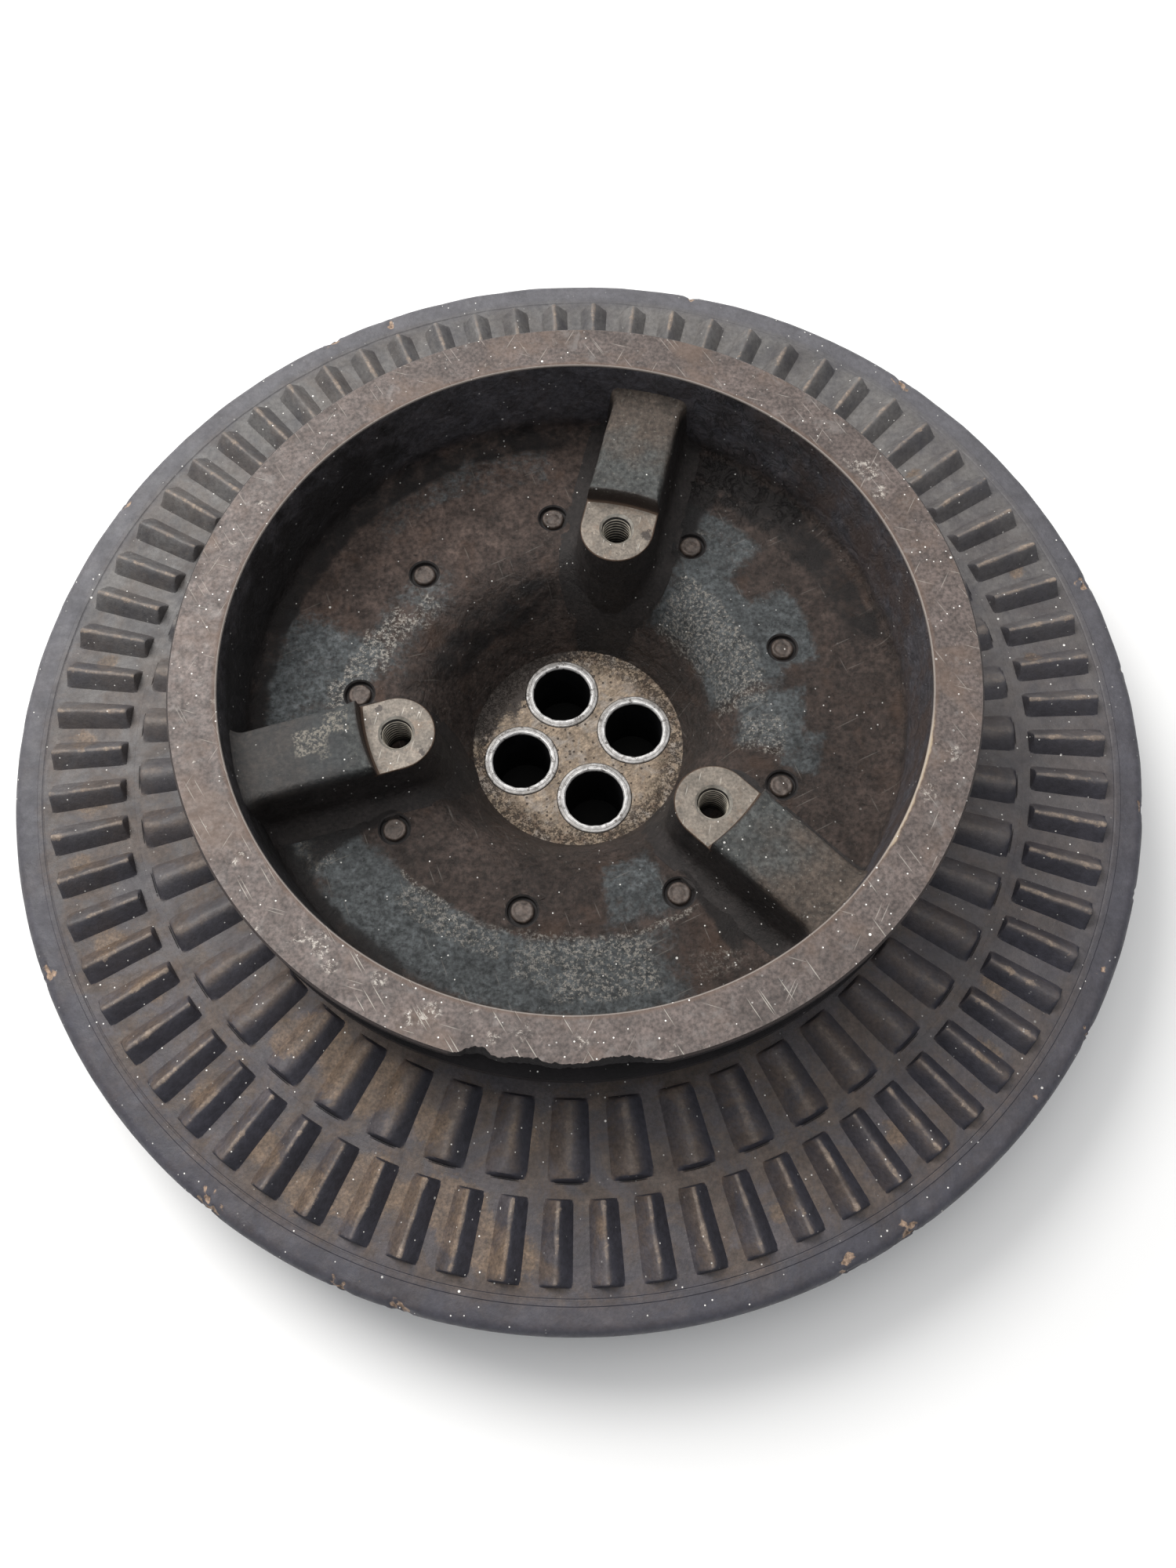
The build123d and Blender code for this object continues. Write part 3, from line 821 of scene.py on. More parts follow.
class PULLEY_OT_bushes(bpy.types.Operator):
    """Builds the four steel bushes in the hub"""
    bl_idname = "pulley.bushes"
    bl_label = "Bushes"

    def execute(self, context):
        sizes = context.scene.pulley_sizes
        colours = context.scene.pulley_colours
        turns = even_turns(160)
        top = bush_top_z
        finishes = [bright_steel(colours), painted_shade_bore()]
        for number, bush in enumerate(BUSHES):
            centre = middle(bush)
            section = rounded([(bush_r, bush_foot_z, 0.3 * MM), (bush_r, top, 0.35 * MM),
                               (sizes.bore + 0.50 * MM, top, 0.1 * MM),
                               (sizes.bore + 0.12 * MM, top - 0.35 * MM, 0.1 * MM),
                               (sizes.bore, top - 0.9 * MM, 0.1 * MM), (sizes.bore, bush_foot_z,
                                                                        0.6 * MM)], 4)
            ring = turned(turns, section[:, 0], section[:, 1])
            near = np.clip((section[:, 1] - top + 2 * MM) / (2 * MM), 0, 1)[:, None]
            dents = lumps(ring + number, 3.2 * MM, 20 + number)
            inner = np.clip((bush_r - 0.8 * MM - section[:, 0]) / (1 * MM), 0, 1)[:, None]
            push = 1 + near * inner * 0.011 * np.maximum(dents, -0.4)
            ring[..., :2] *= push[..., None]
            ring[..., 2] -= near * 0.09 * MM * np.maximum(dents, 0)
            ring[..., :2] += centre
            shell = Shell()
            split = len(section) - 6
            across = ((section[:, 0] - sizes.bore) / (bush_r - sizes.bore))[:, None]
            shell.grid(ring[:split + 1], 0, closed=True, across=across[:split + 1])
            shell.grid(ring[split:], 1, closed=True)
            shell.grid(np.stack([ring[-1], ring[0]]), 0, closed=True)
            shell.piece(f"bush_{number + 1}", finishes, "bush_steel", "pulley", bush, sharp=50)
        return {"FINISHED"}


class PULLEY_OT_rivets(bpy.types.Operator):
    """Builds the nine rivets: a set end in the cup floor and a button head behind"""
    bl_idname = "pulley.rivets"
    bl_label = "Rivets"

    def execute(self, context):
        turns = even_turns(48)
        finish = rivet_iron()
        for number, rivet in enumerate(RIVETS):
            low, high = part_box(rivet)
            centre = middle(rivet)
            head_r = (high.x - low.x) / 2
            shank_r = head_r - 3 * MM
            seat_z = low.z + 4.5 * MM
            dome = bend((0, low.z), (0.78 * head_r, low.z), (head_r, seat_z), 9)
            end_z = high.z + 0.1 * MM
            end = [(shank_r, end_z - 0.7 * MM), (shank_r - 0.25 * MM, end_z - 0.15 * MM),
                   (shank_r - 0.8 * MM, end_z), (shank_r - 1.3 * MM, end_z - 0.3 * MM),
                   (shank_r - 1.9 * MM, end_z - 0.2 * MM), (0.6 * MM, end_z), (0, end_z - 0.15 * MM)]
            section = np.array([*dome, (shank_r, seat_z), *end])
            ring = turned(turns, section[:, 0], section[:, 1])
            near = np.clip((section[:, 1] - end_z + 2 * MM) / (2 * MM), 0, 1)[:, None]
            uneven = lumps(ring + number, 3 * MM, 40 + number)
            ring[..., :2] *= (1 + 0.03 * near * uneven)[..., None]
            ring[..., 2] -= near * 0.08 * MM * (1 + uneven) * (section[:, 0] > 0)[:, None]
            ring[..., :2] += centre
            shell = Shell()
            shell.grid(ring, 0, closed=True)
            shell.piece(f"rivet_end_{number + 1}", [finish], "rivet_steel", "pulley", rivet, sharp=60)
        return {"FINISHED"}


# The damper

INNER_RIB_HALF = radians(2.55)
OUTER_RIB_HALF = radians(1.65)
# Columns across a rib, from one side (-1) to the other (1)
RIB_COLUMNS = np.array([-1.0, -0.94, -0.82, -0.66, -0.48, -0.3, -0.15, -0.05,
                        0.05, 0.15, 0.3, 0.48, 0.66, 0.82, 0.94, 1.0])


def rib_turns(count, half):
    """Columns of a ribbed ring: the same places on every rib and three between two ribs."""
    period = FULL_TURN / count
    beside = period / 2 - (period / 2 - half) * 0.82
    one = np.concatenate([[-period / 2, -beside], RIB_COLUMNS * half, [beside]])
    return (np.arange(count)[:, None] * period + one).ravel()


def ridge(across, crest):
    """Section of a rib, 1 on top and 0 at the sides: a hyperbola, whose crest is wide where
    crest is large and whose flanks meet the ground at an edge."""
    height = np.sqrt(1 + crest ** 2) - np.sqrt(across ** 2 + crest ** 2)
    return np.maximum(height / (np.sqrt(1 + crest ** 2) - crest), 0)


def rib_ends(radii, start, end, run):
    """Quarter ellipses that take a rib down at its two ends, each over a length of run."""
    near = np.clip((radii - start) / run, 0, 1)
    far = np.clip((end - radii) / run, 0, 1)
    return np.sqrt(1 - (1 - near) ** 2) * np.sqrt(1 - (1 - far) ** 2)


def rib_field(turns, radii, count, half, start, end, crest, run):
    """Height of a whole ring of ribs as a share of the full height, at each row and column.
    A rib narrows towards its ends, so that its corners are round, and its height wanders."""
    period = FULL_TURN / count
    across = ((turns + period / 2) % period - period / 2) / half
    ends = rib_ends(radii, start, end, run)[:, None]
    corner = rib_ends(radii, start, end, 2.4 * MM)[:, None]
    surface = turned(turns, radii, np.zeros(len(radii)))
    wander = 1 + 0.05 * lumps(surface, 9 * MM, 31)
    return ridge(np.abs(across)[None] / (0.80 + 0.20 * corner), crest) * ends * wander


# Chips in the rubber rim: angle in degrees, radius and size in millimetres
RIM_CHIPS = (
    (119, 178.7, 3.2), (112, 176.3, 2.0), (48, 177.9, 3.4), (16, 177, 2.4), (350, 179.6, 2.4), (332, 175.5,
                                                                                                1.8),
    (318, 176, 1.6), (233, 177.9, 4.2), (205, 177, 3.0), (253, 179.4, 3.0), (247, 180, 2.6), (294, 178.3,
                                                                                              3.2),
    (300, 180, 3.6), (150, 179.5, 2.8), (75, 179, 2.4), (341, 180, 2.0), (326, 180.2, 2.4), (5, 180, 1.8),
)
# The same for clay and worn crests on the ribs
CLAY = (
    (242, 125, 9.0), (250, 131, 8.0), (258, 158, 10.0), (252, 150, 7.0), (246, 156, 9.0), (226, 158, 7.0),
    (234, 157, 8.0), (272, 152, 5.0), (318, 158, 6.0), (305, 156, 6.0), (41, 135, 5.0), (38, 150, 4.0),
    (20, 158, 4.0), (195, 160, 5.0), (290, 158, 5.0), (8, 150, 4.0), (170, 156, 5.0), (262, 128, 7.0),
    (238, 130, 10.0), (228, 130, 8.0), (232, 122, 8.0), (245, 150, 9.0), (240, 162, 8.0), (256, 148, 8.0),
    (263, 160, 8.0), (205, 158, 7.0), (212, 152, 7.0), (188, 155, 6.0), (180, 158, 6.0), (325, 150, 6.0),
)


def rubber_waves(points):
    """Slow unevenness of the rubber, in metres; the same sum of waves on both sides of the
    joint, so that they meet. The height of the points doesn't count."""
    flat = points * np.array([1.0, 1.0, 0.0])
    return 0.12 * MM * lumps(flat, 22 * MM, 11) + 0.05 * MM * lumps(flat, 6 * MM, 14)


def closed_rows(radii, heights, outline):
    """Rows of a ribbed top followed by the outline that closes it underneath."""
    extra = np.array(outline, float)
    return np.concatenate([radii, extra[:, 0]]), np.concatenate([heights, extra[:, 1]])


class PULLEY_OT_spring_rubber(bpy.types.Operator):
    """Builds the inner ribbed rubber and the plain rubber behind the plate"""
    bl_idname = "pulley.spring_rubber"
    bl_label = "Spring Rubber"

    def execute(self, context):
        sizes = context.scene.damper_sizes
        colours = context.scene.pulley_colours
        rubber_z = inner_crest_z - sizes.inner_rib_height
        start, end = sizes.inner_rib_start, sizes.inner_rib_end
        half = INNER_RIB_HALF
        inner_r = wall_r - 2 * MM
        steps = np.array([0, 0.12, 0.4, 0.9, 1.6, 2.4]) * MM
        radii = np.concatenate([[inner_r, inner_r + 3 * MM], start + steps,
                                np.linspace(start + 4.5 * MM, end - 4.5 * MM, 6), end - steps[::-1],
                                end + np.array([0.2, 0.4, 0.6, 0.9, 1.5]) * MM])
        ground = np.full(len(radii), rubber_z)
        radii, heights = closed_rows(radii, ground, [
            (spring_r, rubber_z), (spring_r, spring_foot_z), (spring_r - 4 * MM, spring_foot_z),
            (spring_r - 4 * MM, spring_foot_z + sizes.plate), (inner_r, spring_foot_z + sizes.plate)])
        turns = rib_turns(sizes.inner_ribs, half)
        ribs = rib_field(turns, radii, sizes.inner_ribs, half, start, end, 0.62, 1.5 * MM)
        ribs[len(ground):] = 0
        top = (heights >= rubber_z - 0.01 * MM)[:, None]
        surface = turned(turns + sizes.inner_rib_turn, radii, heights)
        period = FULL_TURN / sizes.inner_ribs
        across = np.abs((turns + period / 2) % period - period / 2)
        # slot: a shallow groove at the outer end of each inner rib, which the rubber's finish paints near
        # black as shade.
        slot = np.clip(1 - np.abs(radii - end - 0.3 * MM) / (0.35 * MM), 0, 1)[:, None]
        slot = slot * (across < half * 0.62)
        surface[..., 2] += sizes.inner_rib_height * ribs - 0.6 * MM * slot * top
        surface[..., 2] += rubber_waves(surface) * top
        shell = Shell()
        shell.hoop(surface, crest=ribs, clay=spots(surface, CLAY), slot=slot * top)
        finish = dusty_rubber(colours, "inner rubber", 0.25)
        shell.piece("inner_rib_rubber", [finish], "rubber", "pulley", "spring_rubber_front", sharp=30)

        _, low_z, high_z = reach("spring_rubber_back")
        bottom = rounded([(inner_r, high_z, 0), (spring_r, high_z, 0), (spring_r - 0.8 * MM, low_z, 2 * MM),
                          (inner_r + 1.5 * MM, low_z, 2.5 * MM)])
        back = turned(even_turns(240), *bottom.T)
        back[..., 2] += 0.1 * MM * lumps(back, 15 * MM, 12) * (back[..., 2] < high_z - 1 * MM)
        shell = Shell()
        shell.hoop(back)
        shell.piece("back_rubber", [finish], "rubber", "pulley", "spring_rubber_back")
        return {"FINISHED"}


class PULLEY_OT_rib_cover(bpy.types.Operator):
    """Builds the ribbed rubber over the inertia ring, with its worn and chipped rim"""
    bl_idname = "pulley.rib_cover"
    bl_label = "Rib Cover"

    def execute(self, context):
        sizes = context.scene.damper_sizes
        colours = context.scene.pulley_colours
        rubber_z = outer_crest_z - sizes.outer_rib_height
        start, end = sizes.outer_rib_start, sizes.outer_rib_end
        bore_r = spring_r + 0.3 * MM
        half = OUTER_RIB_HALF
        steps = np.array([0, 0.1, 0.3, 0.6, 1.0, 1.6]) * MM
        lines = np.array([168.6, 170.0, 170.2, 170.45, 170.7, 172.0, 172.25, 173.6, 175.2]) * MM
        flat = np.concatenate([[spring_r + 0.02 * MM, bore_r + 0.9 * MM], start + steps,
                               np.linspace(start + 3.2 * MM, end - 3.2 * MM, 8),
                               end - steps[::-1], lines])
        ground = rubber_z - 0.25 * MM * np.interp(flat / MM, [172.0, 172.25], [0, 1])
        groove = np.exp(-((flat / MM - 170.3) / 0.25) ** 2)
        ground -= 0.3 * MM * groove
        low = ground[-1]
        edge_r = disc_r - sizes.rim_round
        angle = np.linspace(0, pi / 2, 10)
        rim = np.stack([edge_r + sizes.rim_round * np.sin(angle),
                        low - sizes.rim_round * (1 - np.cos(angle))], 1)
        foot = iron_bottom_z
        outline = [*rim, (disc_r, foot + 14 * MM), (disc_r, foot + 7 * MM), (disc_r, foot + 0.8 * MM),
                   (disc_r - 0.8 * MM, foot), (bore_r, foot), (bore_r, rubber_z - 1.2 * MM)]
        radii, heights = closed_rows(flat, ground, outline)
        turns = rib_turns(sizes.outer_ribs, half)
        ribs = rib_field(turns, radii, sizes.outer_ribs, half, start, end, 0.24, 0.9 * MM)
        ribs[len(flat):] = 0
        surface = turned(turns + sizes.outer_rib_turn, radii, heights)
        chips = spots(surface, RIM_CHIPS) * (heights > foot + 16 * MM)[:, None]
        bite = np.clip(chips * (0.6 + 0.8 * lumps(surface, 3 * MM, 15)), 0, 1)
        surface[..., :2] *= (1 - 0.005 * bite)[..., None]
        top = (heights > foot + 20 * MM)[:, None]
        surface[..., 2] += sizes.outer_rib_height * ribs - 0.7 * MM * bite
        surface[..., 2] += rubber_waves(surface) * top
        band = np.interp(radii / MM, [167.6, 171.5, 173], [0, 0.5, 1])[:, None]
        shell = Shell()
        shell.hoop(surface, crest=ribs, clay=spots(surface, CLAY), chip=bite, band=band)
        finish = dusty_rubber(colours, "outer rubber", 1.0)
        shell.piece("outer_rib_rubber", [finish], "rubber", "damper", "ribbed_cover", sharp=30)

        low_z, high_z = back_z, iron_bottom_z
        section = rounded([(bore_r, high_z, 0), (disc_r, high_z, 0), (disc_r, low_z, 2.4 * MM),
                           (bore_r, low_z, 1.0 * MM)], 6)
        rings = turned(even_turns(240), *section.T)
        shell = Shell()
        shell.hoop(rings)
        shell.piece("back_rib_rubber", [finish], "rubber", "damper", "back_cover")
        frame["nodes"]["inertia_ring"].data.materials.clear()
        frame["nodes"]["inertia_ring"].data.materials.append(back_iron(colours))
        return {"FINISHED"}


class PULLEY_OT_carrier(bpy.types.Operator):
    """Builds the pressed-steel carrier plate between the casting and the rubber"""
    bl_idname = "pulley.carrier"
    bl_label = "Carrier Plate"

    def execute(self, context):
        sizes = context.scene.damper_sizes
        pulley = context.scene.pulley_sizes
        plate_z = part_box("carrier_plate")[1].z
        flange_z = spring_foot_z + sizes.plate
        bore_r = pulley.boss_radius + 0.2 * MM
        outer = wall_r - 2 * MM
        inner = outer - 10 * MM
        rim_r = spring_r - 4 * MM
        thick = sizes.plate
        section = rounded([(bore_r, plate_z, 0.6 * MM), (inner, plate_z, 4 * MM),
                           (outer, flange_z, 1.5 * MM),
                           (rim_r, flange_z, 0.4 * MM), (rim_r, flange_z - thick, 0.4 * MM),
                           (outer - thick / 2, flange_z - thick, 5 * MM),
                           (inner - thick / 2, plate_z - thick, 2 * MM), (bore_r, plate_z - thick,
                                                                          0.6 * MM)], 7)
        rings = turned(even_turns(240), *section.T)
        shell = Shell()
        shell.hoop(rings)
        shell.piece("carrier_disc", [plate_paint()], "plate_steel", "pulley", "carrier_plate")
        return {"FINISHED"}


# Finishes

class Finish:
    """A node material, with short calls for the nodes that these finishes use."""

    def __init__(self, name, metallic=0.0, specular=0.5):
        self.material = bpy.data.materials.new(name)
        self.material.use_nodes = True
        self.tree = self.material.node_tree
        self.shader = self.tree.nodes["Principled BSDF"]
        self.shader.inputs["Metallic"].default_value = metallic
        self.shader.inputs["Specular IOR Level"].default_value = specular
        self.place = self.tree.nodes.new("ShaderNodeTexCoord").outputs["Object"]
        self.parts = self.node("SeparateXYZ", self.place).outputs

    def node(self, kind, *inputs, **settings):
        made = self.tree.nodes.new("ShaderNode" + kind)
        for key, value in settings.items():
            setattr(made, key, value)
        for socket, value in zip(made.inputs, inputs):
            self.feed(socket, value)
        return made

    def feed(self, socket, value):
        if isinstance(value, bpy.types.NodeSocket):
            self.tree.links.new(value, socket)
        elif isinstance(value, (tuple, list)) and socket.type == "RGBA":
            socket.default_value = (*value[:3], 1.0)
        elif value is not None:
            socket.default_value = value

    def mark(self, name):
        return self.node("Attribute", attribute_name=name).outputs["Fac"]

    def maths(self, how, first, second=0.0):
        return self.node("Math", first, second, operation=how).outputs[0]

    def stretched(self, turn, along, across, up=1.0):
        """The place, turned about Z and then scaled."""
        made = self.node("Mapping", self.place, vector_type="TEXTURE")
        made.inputs["Rotation"].default_value = (0, 0, radians(turn))
        made.inputs["Scale"].default_value = (along, across, up)
        return made.outputs[0]

    def noise(self, size, detail=4.0, rough=0.55, bend=0.0, place=None):
        made = self.node("TexNoise", noise_dimensions="3D")
        self.feed(made.inputs["Vector"], place or self.place)
        made.inputs["Scale"].default_value = 1.0 / size
        made.inputs["Detail"].default_value = detail
        made.inputs["Roughness"].default_value = rough
        made.inputs["Distortion"].default_value = bend
        return made.outputs["Fac"]

    def ramp(self, value, low, high, first=0.0, last=1.0):
        made = self.node("MapRange", interpolation_type="SMOOTHSTEP")
        for socket, given in zip(made.inputs, (value, low, high, first, last)):
            self.feed(socket, given)
        return made.outputs[0]

    def mix(self, share, first, second, how="MIX"):
        made = self.node("Mix", data_type="RGBA", blend_type=how)
        for index, value in ((0, share), (6, first), (7, second)):
            self.feed(made.inputs[index], value)
        return made.outputs[2]

    def tint(self, colour, *amounts):
        """A colour made darker or lighter as noise of one size goes from low to high."""
        for size, low, high in amounts:
            grey = self.ramp(self.noise(size, 5, 0.6), 0.28, 0.72, low, high)
            colour = self.shade(colour, grey)
        return colour

    def shade(self, colour, grey):
        """A colour multiplied by a grey value."""
        made = self.node("CombineColor", grey, grey, grey).outputs[0]
        return self.mix(1.0, colour, made, "MULTIPLY")

    def both(self, first, second):
        return self.maths("MULTIPLY", first, second)

    def plus(self, first, second):
        return self.maths("ADD", first, second)

    def most(self, first, second):
        return self.maths("MAXIMUM", first, second)

    def clouds(self, noise, low, high, first=0.0, last=1.0):
        """Noise of the given settings, turned from first to last as it goes from low to high."""
        return self.ramp(self.noise(*noise), low, high, first, last)

    def cover(self, colour, over, where, strength):
        """A colour with another over it where a mark is, at a share of the mark's strength."""
        return self.mix(self.both(where, strength), colour, over)

    def sheen(self, size, low, high):
        """Roughness that wanders between two values over a length."""
        return self.clouds((size, 5, 0.6), 0.3, 0.7, low, high)

    def out(self, waver=0.0, size=0.009):
        """Distance from the axis of rotation, made uneven by noise of waver metres."""
        squares = self.maths("ADD", self.maths("POWER", self.parts["X"], 2.0),
                             self.maths("POWER", self.parts["Y"], 2.0))
        distance = self.maths("SQRT", squares)
        if waver:
            distance = self.maths("ADD", distance, self.ramp(self.noise(size, 5, 0.6), 0.2, 0.8, -waver,
                                                             waver))
        return distance

    def towards(self, degrees):
        """How far a place lies towards one side, in metres."""
        east = self.both(self.parts["X"], float(np.cos(radians(degrees))))
        north = self.both(self.parts["Y"], float(np.sin(radians(degrees))))
        return self.maths("ADD", east, north)

    def specks(self, cell, size, share):
        """Small round marks in a given share of the cells of a random mosaic."""
        made = self.node("TexVoronoi")
        self.feed(made.inputs["Vector"], self.place)
        made.inputs["Scale"].default_value = 1.0 / cell
        red = self.node("SeparateColor", made.outputs["Color"]).outputs[0]
        chosen = self.maths("GREATER_THAN", red, 1 - share)
        near = self.ramp(made.outputs["Distance"], size * 0.8, size, 1.0, 0.0)
        return self.maths("MULTIPLY", chosen, near)

    def scratches(self, turn, long, thin, share):
        """Fine straight lines: the cells of a flat random mosaic, stretched along one
        direction, each hold one thin ellipse in a given share of them."""
        made = self.node("TexVoronoi", voronoi_dimensions="2D")
        self.feed(made.inputs["Vector"], self.stretched(turn, long, thin))
        made.inputs["Scale"].default_value = 1.0
        red = self.node("SeparateColor", made.outputs["Color"]).outputs[0]
        chosen = self.maths("GREATER_THAN", red, 1 - share)
        return self.both(chosen, self.ramp(made.outputs["Distance"], 0.12, 0.42, 1.0, 0.0))

    def done(self, colour, roughness, height=None, depth=0.0, second=None, second_depth=0.0):
        self.feed(self.shader.inputs["Base Color"], colour)
        self.feed(self.shader.inputs["Roughness"], roughness)
        normal = None
        for bump, distance in ((height, depth), (second, second_depth)):
            if bump is not None:
                made = self.node("Bump")
                made.inputs["Strength"].default_value = 1.0
                made.inputs["Distance"].default_value = distance
                self.feed(made.inputs["Height"], bump)
                if normal is not None:
                    self.feed(made.inputs["Normal"], normal)
                normal = made.outputs[0]
        if normal is not None:
            self.feed(self.shader.inputs["Normal"], normal)
        return self.material


WHITE = (0.92, 0.90, 0.86)
# Iron that was scraped bare
SCRAPED = (0.52, 0.48, 0.43)


def plain(colour):
    return tuple(colour[:3])


def speckled(finish, colour, share=0.5):
    """White dust specks of two sizes over a colour, in loose crowds."""
    fine = finish.specks(2.0 * MM, 0.13, 0.40 * share)
    coarse = finish.specks(7.0 * MM, 0.058, 0.36 * share)
    crowd = finish.clouds((32 * MM, 3, 0.5), 0.40, 0.58, 0.15, 1.0)
    return finish.cover(colour, WHITE, finish.most(fine, coarse), crowd)


def iron_base(finish, colours):
    """Colour of the cast surface: film, rust, old paint by its mark and crusts of specks, lightened towards
    the north-west as painted light.
    """
    film = finish.tint(plain(colours.film), (26 * MM, 0.70, 1.30), (6 * MM, 0.66, 1.35),
                       (1.5 * MM, 0.60, 1.50))
    rust = finish.clouds((17 * MM, 6, 0.62, 0.6), 0.52, 0.72, 0.0, 0.5)
    film = finish.mix(rust, film, (0.082, 0.046, 0.030))
    paint = finish.tint(plain(colours.paint), (11 * MM, 0.72, 1.20), (3 * MM, 0.66, 1.25),
                        (1.2 * MM, 0.48, 1.55))
    edge = finish.plus(finish.mark("paint"), finish.noise(14 * MM, 9, 0.74, 0.6))
    edge = finish.plus(edge, finish.clouds((2.0 * MM, 7, 0.75), 0.25, 0.75, -0.20, 0.20))
    painted = finish.ramp(edge, 0.80, 1.26)
    colour = finish.mix(painted, film, paint)
    grain = finish.clouds((1.0 * MM, 4, 0.8), 0.50, 0.60)
    lime = finish.plus(finish.mark("crust"), finish.noise(7 * MM, 6, 0.7, 0.5))
    lime = finish.both(finish.ramp(lime, 0.86, 1.25), grain)
    colour = finish.cover(colour, (0.33, 0.305, 0.27), lime, 0.85)
    pits = finish.clouds((1.9 * MM, 6, 0.75), 0.58, 0.68, 1.0, 0.40)
    # Painted light: the colour is lightened by up to a half towards the north-west.
    painted_light_north_west = finish.ramp(finish.towards(135), 0.0, 0.085, 1.0, 1.5)
    colour = finish.shade(finish.shade(colour, pits), painted_light_north_west)
    lines = finish.most(finish.scratches(-70, 9 * MM, 0.5 * MM, 0.015),
                        finish.scratches(25, 12 * MM, 0.5 * MM, 0.012))
    return finish.cover(colour, (0.22, 0.20, 0.18), lines, 0.45), painted


def cast_iron(colours):
    """Sand-cast iron inside the cup, dark near the mouth and rusty on the east side, darkened lower down as
    painted shade and near black beside the lugs as painted shadow.
    """
    finish = Finish("cast iron", metallic=0.0, specular=0.5)
    colour, painted = iron_base(finish, colours)
    height = finish.parts["Z"]
    wall = finish.ramp(height, mouth_z - 30 * MM, mouth_z - 22 * MM)
    east = finish.ramp(finish.parts["X"], 0.02, 0.085)
    patchy = finish.clouds((12 * MM, 6, 0.65), 0.36, 0.64)
    rusty = finish.both(finish.both(wall, east), patchy)
    colour = finish.cover(colour, finish.tint((0.092, 0.092, 0.108), (8 * MM, 0.6, 1.3),
                                              (1.6 * MM, 0.6, 1.45)), wall, 0.72)
    colour = finish.cover(colour, (0.078, 0.050, 0.040), rusty, 0.75)
    # Painted shade: darker lower down in the cup, most in the funnel.
    colour = finish.shade(colour, finish.ramp(height, 0.030, 0.056, 0.76, 1.0))
    # Painted shadow: near black beside and below the lugs, along the foot of the wall and in the funnel.
    painted_shadow = finish.plus(finish.mark("painted_shadow"), finish.clouds((8 * MM, 6, 0.65), 0.3, 0.7, -0.25, 0.25))
    colour = finish.cover(colour, (0.010, 0.008, 0.008), finish.ramp(painted_shadow, 0.12, 0.66), 0.92)
    colour = speckled(finish, colour, 0.45)
    rough = finish.sheen(6 * MM, 0.40, 0.66)
    grit = finish.noise(1.3 * MM, 7, 0.80)
    flow = finish.plus(finish.noise(7 * MM, 5, 0.6, 0.8), finish.both(painted, 0.10))
    plates = finish.clouds((6 * MM, 7, 0.7, 1.2), 0.46, 0.52)
    flow = finish.plus(flow, finish.both(finish.both(finish.mark("scab"), plates), 1.1))
    return finish.done(colour, rough, grit, 0.85 * MM, flow, 1.3 * MM)


def arm_iron():
    """Cast arms and lug sides: grey near the step, brown towards the wall, dark at the sides."""
    finish = Finish("arm iron", specular=0.5)
    grey = finish.tint((0.062, 0.065, 0.063), (8 * MM, 0.76, 1.25), (1.3 * MM, 0.45, 1.6))
    brown = finish.tint((0.080, 0.062, 0.050), (6 * MM, 0.7, 1.3), (1.3 * MM, 0.55, 1.5))
    dark = finish.tint((0.021, 0.017, 0.016), (9 * MM, 0.7, 1.3), (1.3 * MM, 0.6, 1.5))
    out = finish.out(0.010)
    colour = finish.mix(finish.ramp(out, 0.068, 0.092), grey, brown)
    patchy = finish.noise(7 * MM, 6, 0.65)
    side = finish.ramp(finish.parts["Z"], arm_z - 5 * MM, arm_z - 1.0 * MM)
    colour = finish.mix(side, dark, colour)
    step = finish.ramp(finish.out(), 0.0640, 0.0655)
    low = finish.ramp(finish.parts["Z"], lug_z - 0.6 * MM, lug_z - 0.1 * MM)
    riser = finish.both(finish.maths("SUBTRACT", 1.0, step), low)
    colour = finish.cover(colour, (0.030, 0.018, 0.013), riser, 0.9)
    fillet = finish.both(finish.ramp(finish.parts["Z"], lug_z + 0.7 * MM, lug_z + 0.1 * MM), riser)
    colour = finish.cover(colour, (0.110, 0.066, 0.040), fillet, 0.6)
    chalk = finish.both(finish.clouds((1.1 * MM, 4, 0.8), 0.58, 0.66), side)
    colour = finish.cover(colour, (0.24, 0.23, 0.20), chalk, 0.5)
    slate = finish.ramp(finish.plus(finish.towards(195), finish.both(patchy, 0.02)), 0.072, 0.084)
    colour = finish.cover(colour, (0.052, 0.056, 0.060), finish.both(slate, side), 0.6)
    lime = finish.ramp(finish.plus(finish.mark("lime"), finish.noise(5 * MM, 6, 0.7, 0.5)), 0.85, 1.25)
    lime = finish.both(lime, finish.clouds((1.0 * MM, 4, 0.8), 0.47, 0.56))
    colour = finish.cover(colour, (0.33, 0.30, 0.25), finish.both(lime, side), 0.75)
    colour = speckled(finish, colour, 0.6)
    rough = finish.sheen(5 * MM, 0.45, 0.68)
    return finish.done(colour, rough, finish.noise(1.2 * MM, 7, 0.78), 0.6 * MM)


